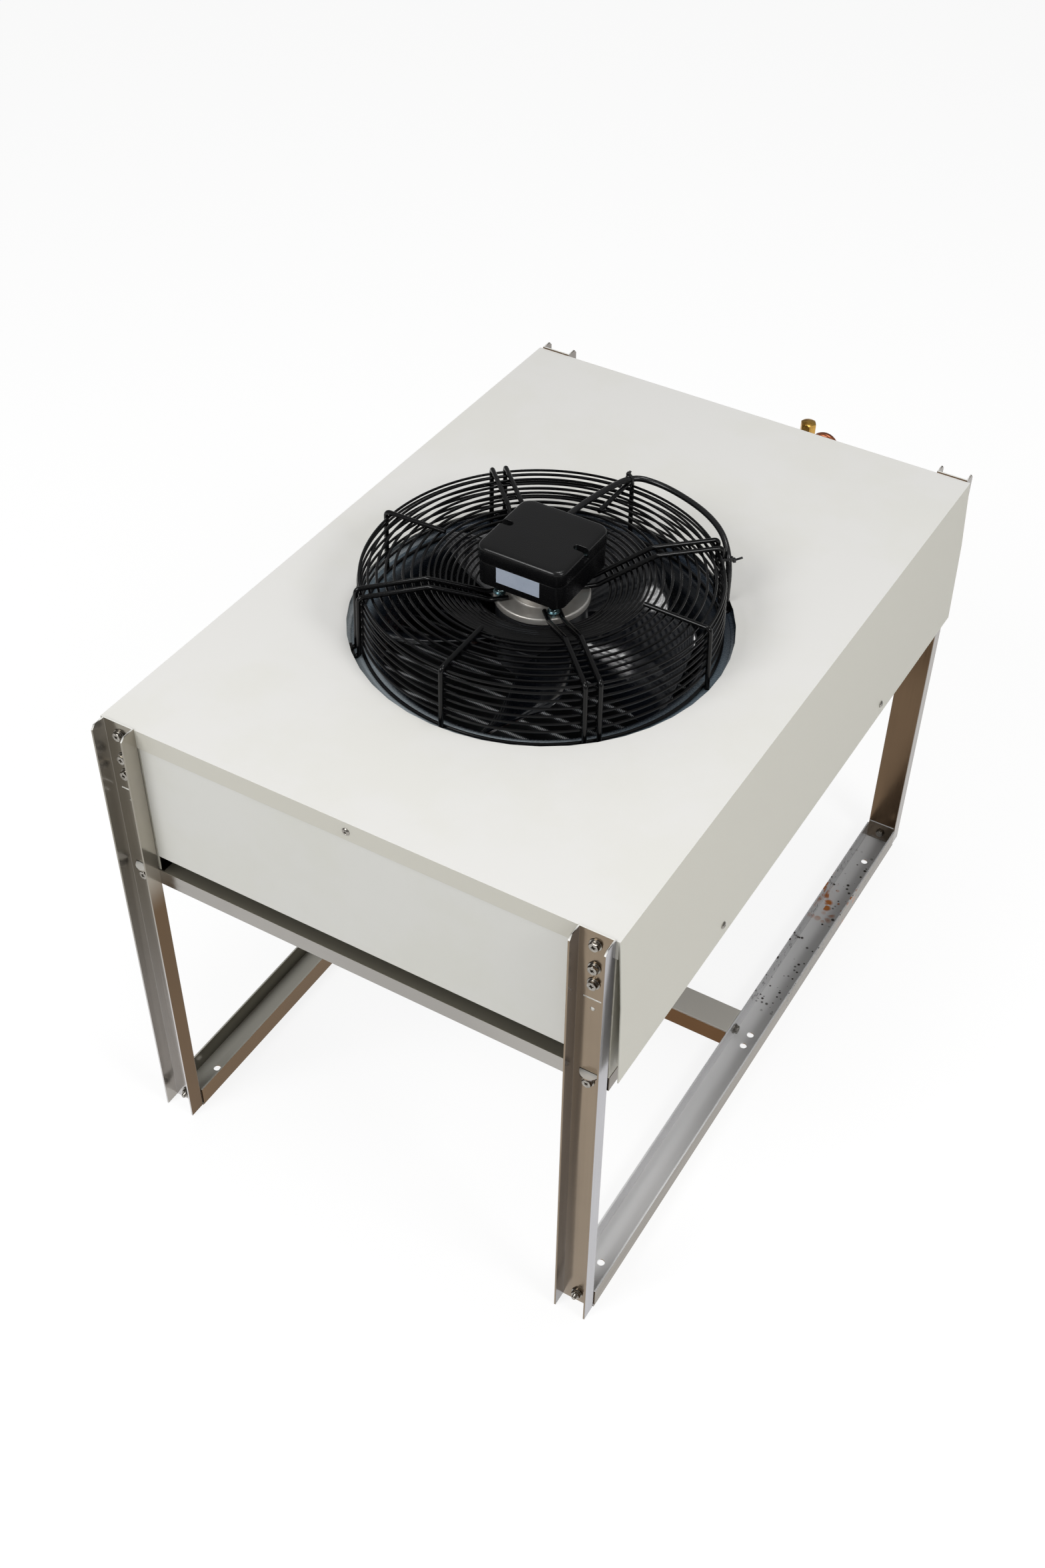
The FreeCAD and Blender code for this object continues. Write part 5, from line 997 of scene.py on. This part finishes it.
def motor():
    """Aluminium flange with a raised ring and a boss, over a black rotor cup."""
    flange = [(9, 682), (28.6, 682), (30, 681), (33.4, 659.6), (34.4, 658.6), (36, 658),
            (49.4, 658), (50.2, 658.2), *arc((51.5, 656.5), 2, 90, 0, 6),
            *arc((52, 651.5), 1.5, 0, -90, 4), (43, 650), (43, 648), (17, 648), (17, 596),
            (13, 596), (13, 650), (9, 650), (9, 682)]
    new_piece("motor_flange_dressed", [lathe(flange, FAN, 96)], MOTOR_METAL, ("motor_flange",),
            crease=30)
    cup = [(5, 572), (20, 572), (20.6, 572.6), (24, 573.4), (45, 573.4), (46.5, 572),
            *arc((47, 576), 4, -90, 0, 6), (51, 606), (50.4, 607), (50.4, 609), (51, 610),
            (51, 645.5), (50.5, 647), (46.6, 647), (46, 646.4), (46, 577), (12, 577), (12, 592),
            (5, 592), (5, 572)]
    new_piece("rotor_cup_dressed", [lathe(cup, FAN, 96)], MOTOR_BLACK, ("rotor_cup",), "fan",
            crease=30)


def blade():
    """One swept blade: at each radius r an aerofoil lies on the cylinder of that radius. Its
    chord, pitch and sweep change with the radius's share of the span; across the chord s, from
    -1/2 to 1/2, its middle line rises by camber (1 - 4 s squared) and its half thickness falls
    to the rounded edges as the root of 1 - (2 s) to the power 6."""
    root, tip, middle, half_sheet = 48, 175, 600, 1.1
    share = np.append(np.linspace(0, 1, 40), 1.0)[:, None]
    radius = root + (tip - root) * share
    chord = 66 + 66 * share ** 0.8
    tip_round = np.clip((share - 0.84) / 0.16, 0, 1)
    chord = chord * (1 - 0.16 * tip_round ** 3)
    pitch = np.radians(42 - 4 * share)
    sweep = np.radians(-12 * share ** 1.7)
    angle = turns(64)[None]
    across = -np.cos(angle) / 2
    edge = np.sqrt(np.clip(1 - (2 * np.abs(across)) ** 6, 0, 1))
    thick = half_sheet * (1 + 0.5 * (1 - share)) * edge * np.sign(np.sin(angle))
    camber = 0.08 * chord * (1 - 4 * across ** 2) + half_sheet
    run = chord * across * np.cos(pitch) - (camber + thick) * np.sin(pitch)
    height = middle + chord * across * np.sin(pitch) + (camber + thick) * np.cos(pitch)
    place = sweep + run / radius
    return capped(np.stack([radius * np.cos(place), radius * np.sin(place), height], axis=-1))


def blades():
    """Five blades, evenly turned about the fan's axis."""
    shapes = [about_fan(blade(), BLADE_REST + 72 * k) for k in range(5)]
    new_piece("fan_blades_dressed", shapes, BLACK_GLOSS, ("fan_blades",), "fan", crease=50)


def terminal_box():
    """Black box over the motor with a rounded lid that laps over it, two notches in the lid
    with screws, and a bare label."""
    base = [(50.5, 10, 682), (52, 11.5, 682.6), (52.5, 12, 684), (52.5, 12, 709.6),
            (51.7, 11.2, 710.2), (51.7, 11.2, 712)]
    new_piece("terminal_box_dressed", [cushion_box(base)], BOX_PLASTIC, ("terminal_box",),
            crease=40)
    lid = [(52.2, 11.7, 711.2), (53.1, 12.6, 711.4), (53.5, 13, 712.2), (53.4, 13, 725),
            *[(53.4 - 4.4 * (1 - math.cos(a)), 13 - 2 * (1 - math.cos(a)), 725.2 + 4.4 * math.sin(a))
            for a in np.linspace(0.1, 1.45, 8)], (44, 11, 729.8), (30, 9, 730)]
    item = mesh_object("terminal_lid_dressed", [cushion_box(lid)])
    cutters = []
    for side in (-1, 1):
        rows = [np.insert(stadium(16, 4.4) * [side, 1], 2, z, axis=1) for z in (NOTCH_Z, 732)]
        cutters.append(capped(np.array(rows) + FAN + X_WAY * (side * 53.5)))
    cutter = mesh_object("lid_notches", cutters)
    tool = item.modifiers.new("Notches", "BOOLEAN")
    tool.object = cutter
    tool.solver = "EXACT"
    shown = item.evaluated_get(bpy.context.evaluated_depsgraph_get())
    item.data = bpy.data.meshes.new_from_object(shown)
    item.modifiers.clear()
    bpy.data.objects.remove(cutter)
    finish_piece(item, BOX_PLASTIC, ("terminal_box_lid",), crease=40)
    bevel(item, 0.5, angle=55)
    softened("blank_label", LABEL_FILM, 0.1)


def stadium(long, half):
    """A slot's outline that runs inwards from the edge: a half circle at its inner end."""
    bend = np.array(arc((-(long - half), 0), half, 90, 270, 16))
    return np.concatenate([[(4, half)], bend, [(4, -half)]])


# Cable


GLAND = FAN + np.array([-18, 52.5, 700])


def cable():
    """The fan cable on one smooth curve over the rim and down to the junction box."""
    angle, reach = CABLE_DROP
    inner = fan_point(angle, reach, 0)
    over_rim = [fan_point(degrees, far, CABLE_REST + rise) for degrees, far, rise in (
            (89.3, 199, 0.8), (81, 209.5, -3), (71, 211.5, -4.5), (60, 212, -4),
            (50.5, 212.3, -6.5), (43.8, 210.8, -17), (40.7, 210.2, -36))]
    points = [GLAND - Y_WAY * 2.5, GLAND + [0, 24, 0], GLAND + [2, 62, -2], GLAND + [9, 104, -3.5],
            *over_rim, inner + Z_WAY * 634, inner + Z_WAY * 590, inner + [3, 0, 578],
            inner + [10, 0, 569], inner + [22, 0, 564], inner + [38, 0, 562.5],
            (272, inner[1], 562.5)]
    data = bpy.data.curves.new("fan_cable_dressed", "CURVE")
    data.dimensions = "3D"
    data.bevel_depth = 3.5 * MM
    data.bevel_resolution = 6
    data.resolution_u = 12
    data.use_fill_caps = True
    spline = data.splines.new("NURBS")
    spline.points.add(len(points) - 1)
    spline.points.foreach_set("co", np.insert(np.array(points) * MM, 3, 1, axis=1).ravel())
    spline.order_u = 3
    spline.use_endpoint_u = True
    item = in_scene("fan_cable_dressed", data)
    data.materials.append(CABLE_RUBBER.material)
    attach(item, "casing")
    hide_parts("fan_cable")


def tie_heads():
    """The locking heads of the two cable ties, each with its cut tail."""
    rib_head = fan_point(90, 192.8, CABLE_REST + 4.8)
    pair_head = fan_point(42.6, 214.9, 669)
    way = unit([math.cos(math.radians(43)), math.sin(math.radians(43)), 0])
    shapes = [laid(slab(4.6, 4.2, 3.4), rib_head, Z_WAY),
            laid(slab(3, 0.9, 4), rib_head + Z_WAY * 2, (0.2, 1, 0.5)),
            laid(slab(4.6, 4.2, 3.6), pair_head, way),
            laid(slab(3, 0.9, 9), pair_head + way * 3, way + Z_WAY * 0.25)]
    piece = new_piece("cable_tie_heads", shapes, TIE_NYLON)
    bevel(piece, 0.3)


# Coil


def fins():
    """Corrugated fins across the coil: thin sheets square to X, whose height z runs straight
    and whose x swings to and fro along y with the tubes' pitch."""
    low, high = 424, 490
    pitch, reach, deep = 2.1, 260.5, 406.4
    y = np.linspace(-deep, deep, 65)
    swing = 0.55 * np.where(np.arange(65) % 2, 1, -1)
    sheets = [grid(np.array([np.stack([x + swing, y, np.full_like(y, z)], axis=-1)
            for z in (low, high)]), around=False)
            for x in np.arange(-reach, reach + pitch / 2, pitch)]
    item = new_piece("fins_dressed", sheets, FIN_FOIL, ("fin_pack",), crease=10)
    skin = item.modifiers.new("Foil", "SOLIDIFY")
    skin.thickness = 0.15 * MM
    skin.offset = 0


# Everything in its place

bpy.context.scene.view_settings.view_transform = "Standard"
photo_camera()
studio()
cable()
tie_heads()
sheet_metal()
small_dress()
softened("coil_end_plates", GALVANISED, 0)
fasteners()
wall_ring()
guard()
motor()
blades()
terminal_box()
fins()
for copper_node in ("coil_tubes", "return_bends", "gas_header", "liquid_header", "gas_pipe",
        "liquid_pipe", "gas_inlet_stub"):
    softened(copper_node, COPPER, 0)
for moulded, finish_of, width in (
        ("service_valve_body", BRASS, 0.4), ("service_valve_cap", BRASS, 0.5),
        ("service_valve_stem", VALVE_STEEL, 0.2), ("grommets", CABLE_RUBBER, 0.3),
        ("cable_gland", BOX_PLASTIC, 0.3), ("cable_ties", TIE_NYLON, 0.2),
        ("junction_box", BOX_PLASTIC, 1.0), ("motor_capacitor", BOX_PLASTIC, 0.6),
        ("terminal_block", PALE_PLASTIC, 0.5), ("stator_core", CORE_STEEL, 0.3),
        ("stator_windings", COPPER, 1.0), ("rotor_cage", CAGE_METAL, 0.3),
        ("rotor_shaft", CORE_STEEL, 0.3), ("motor_bearings", CORE_STEEL, 0.3)):
    softened(moulded, finish_of, width)
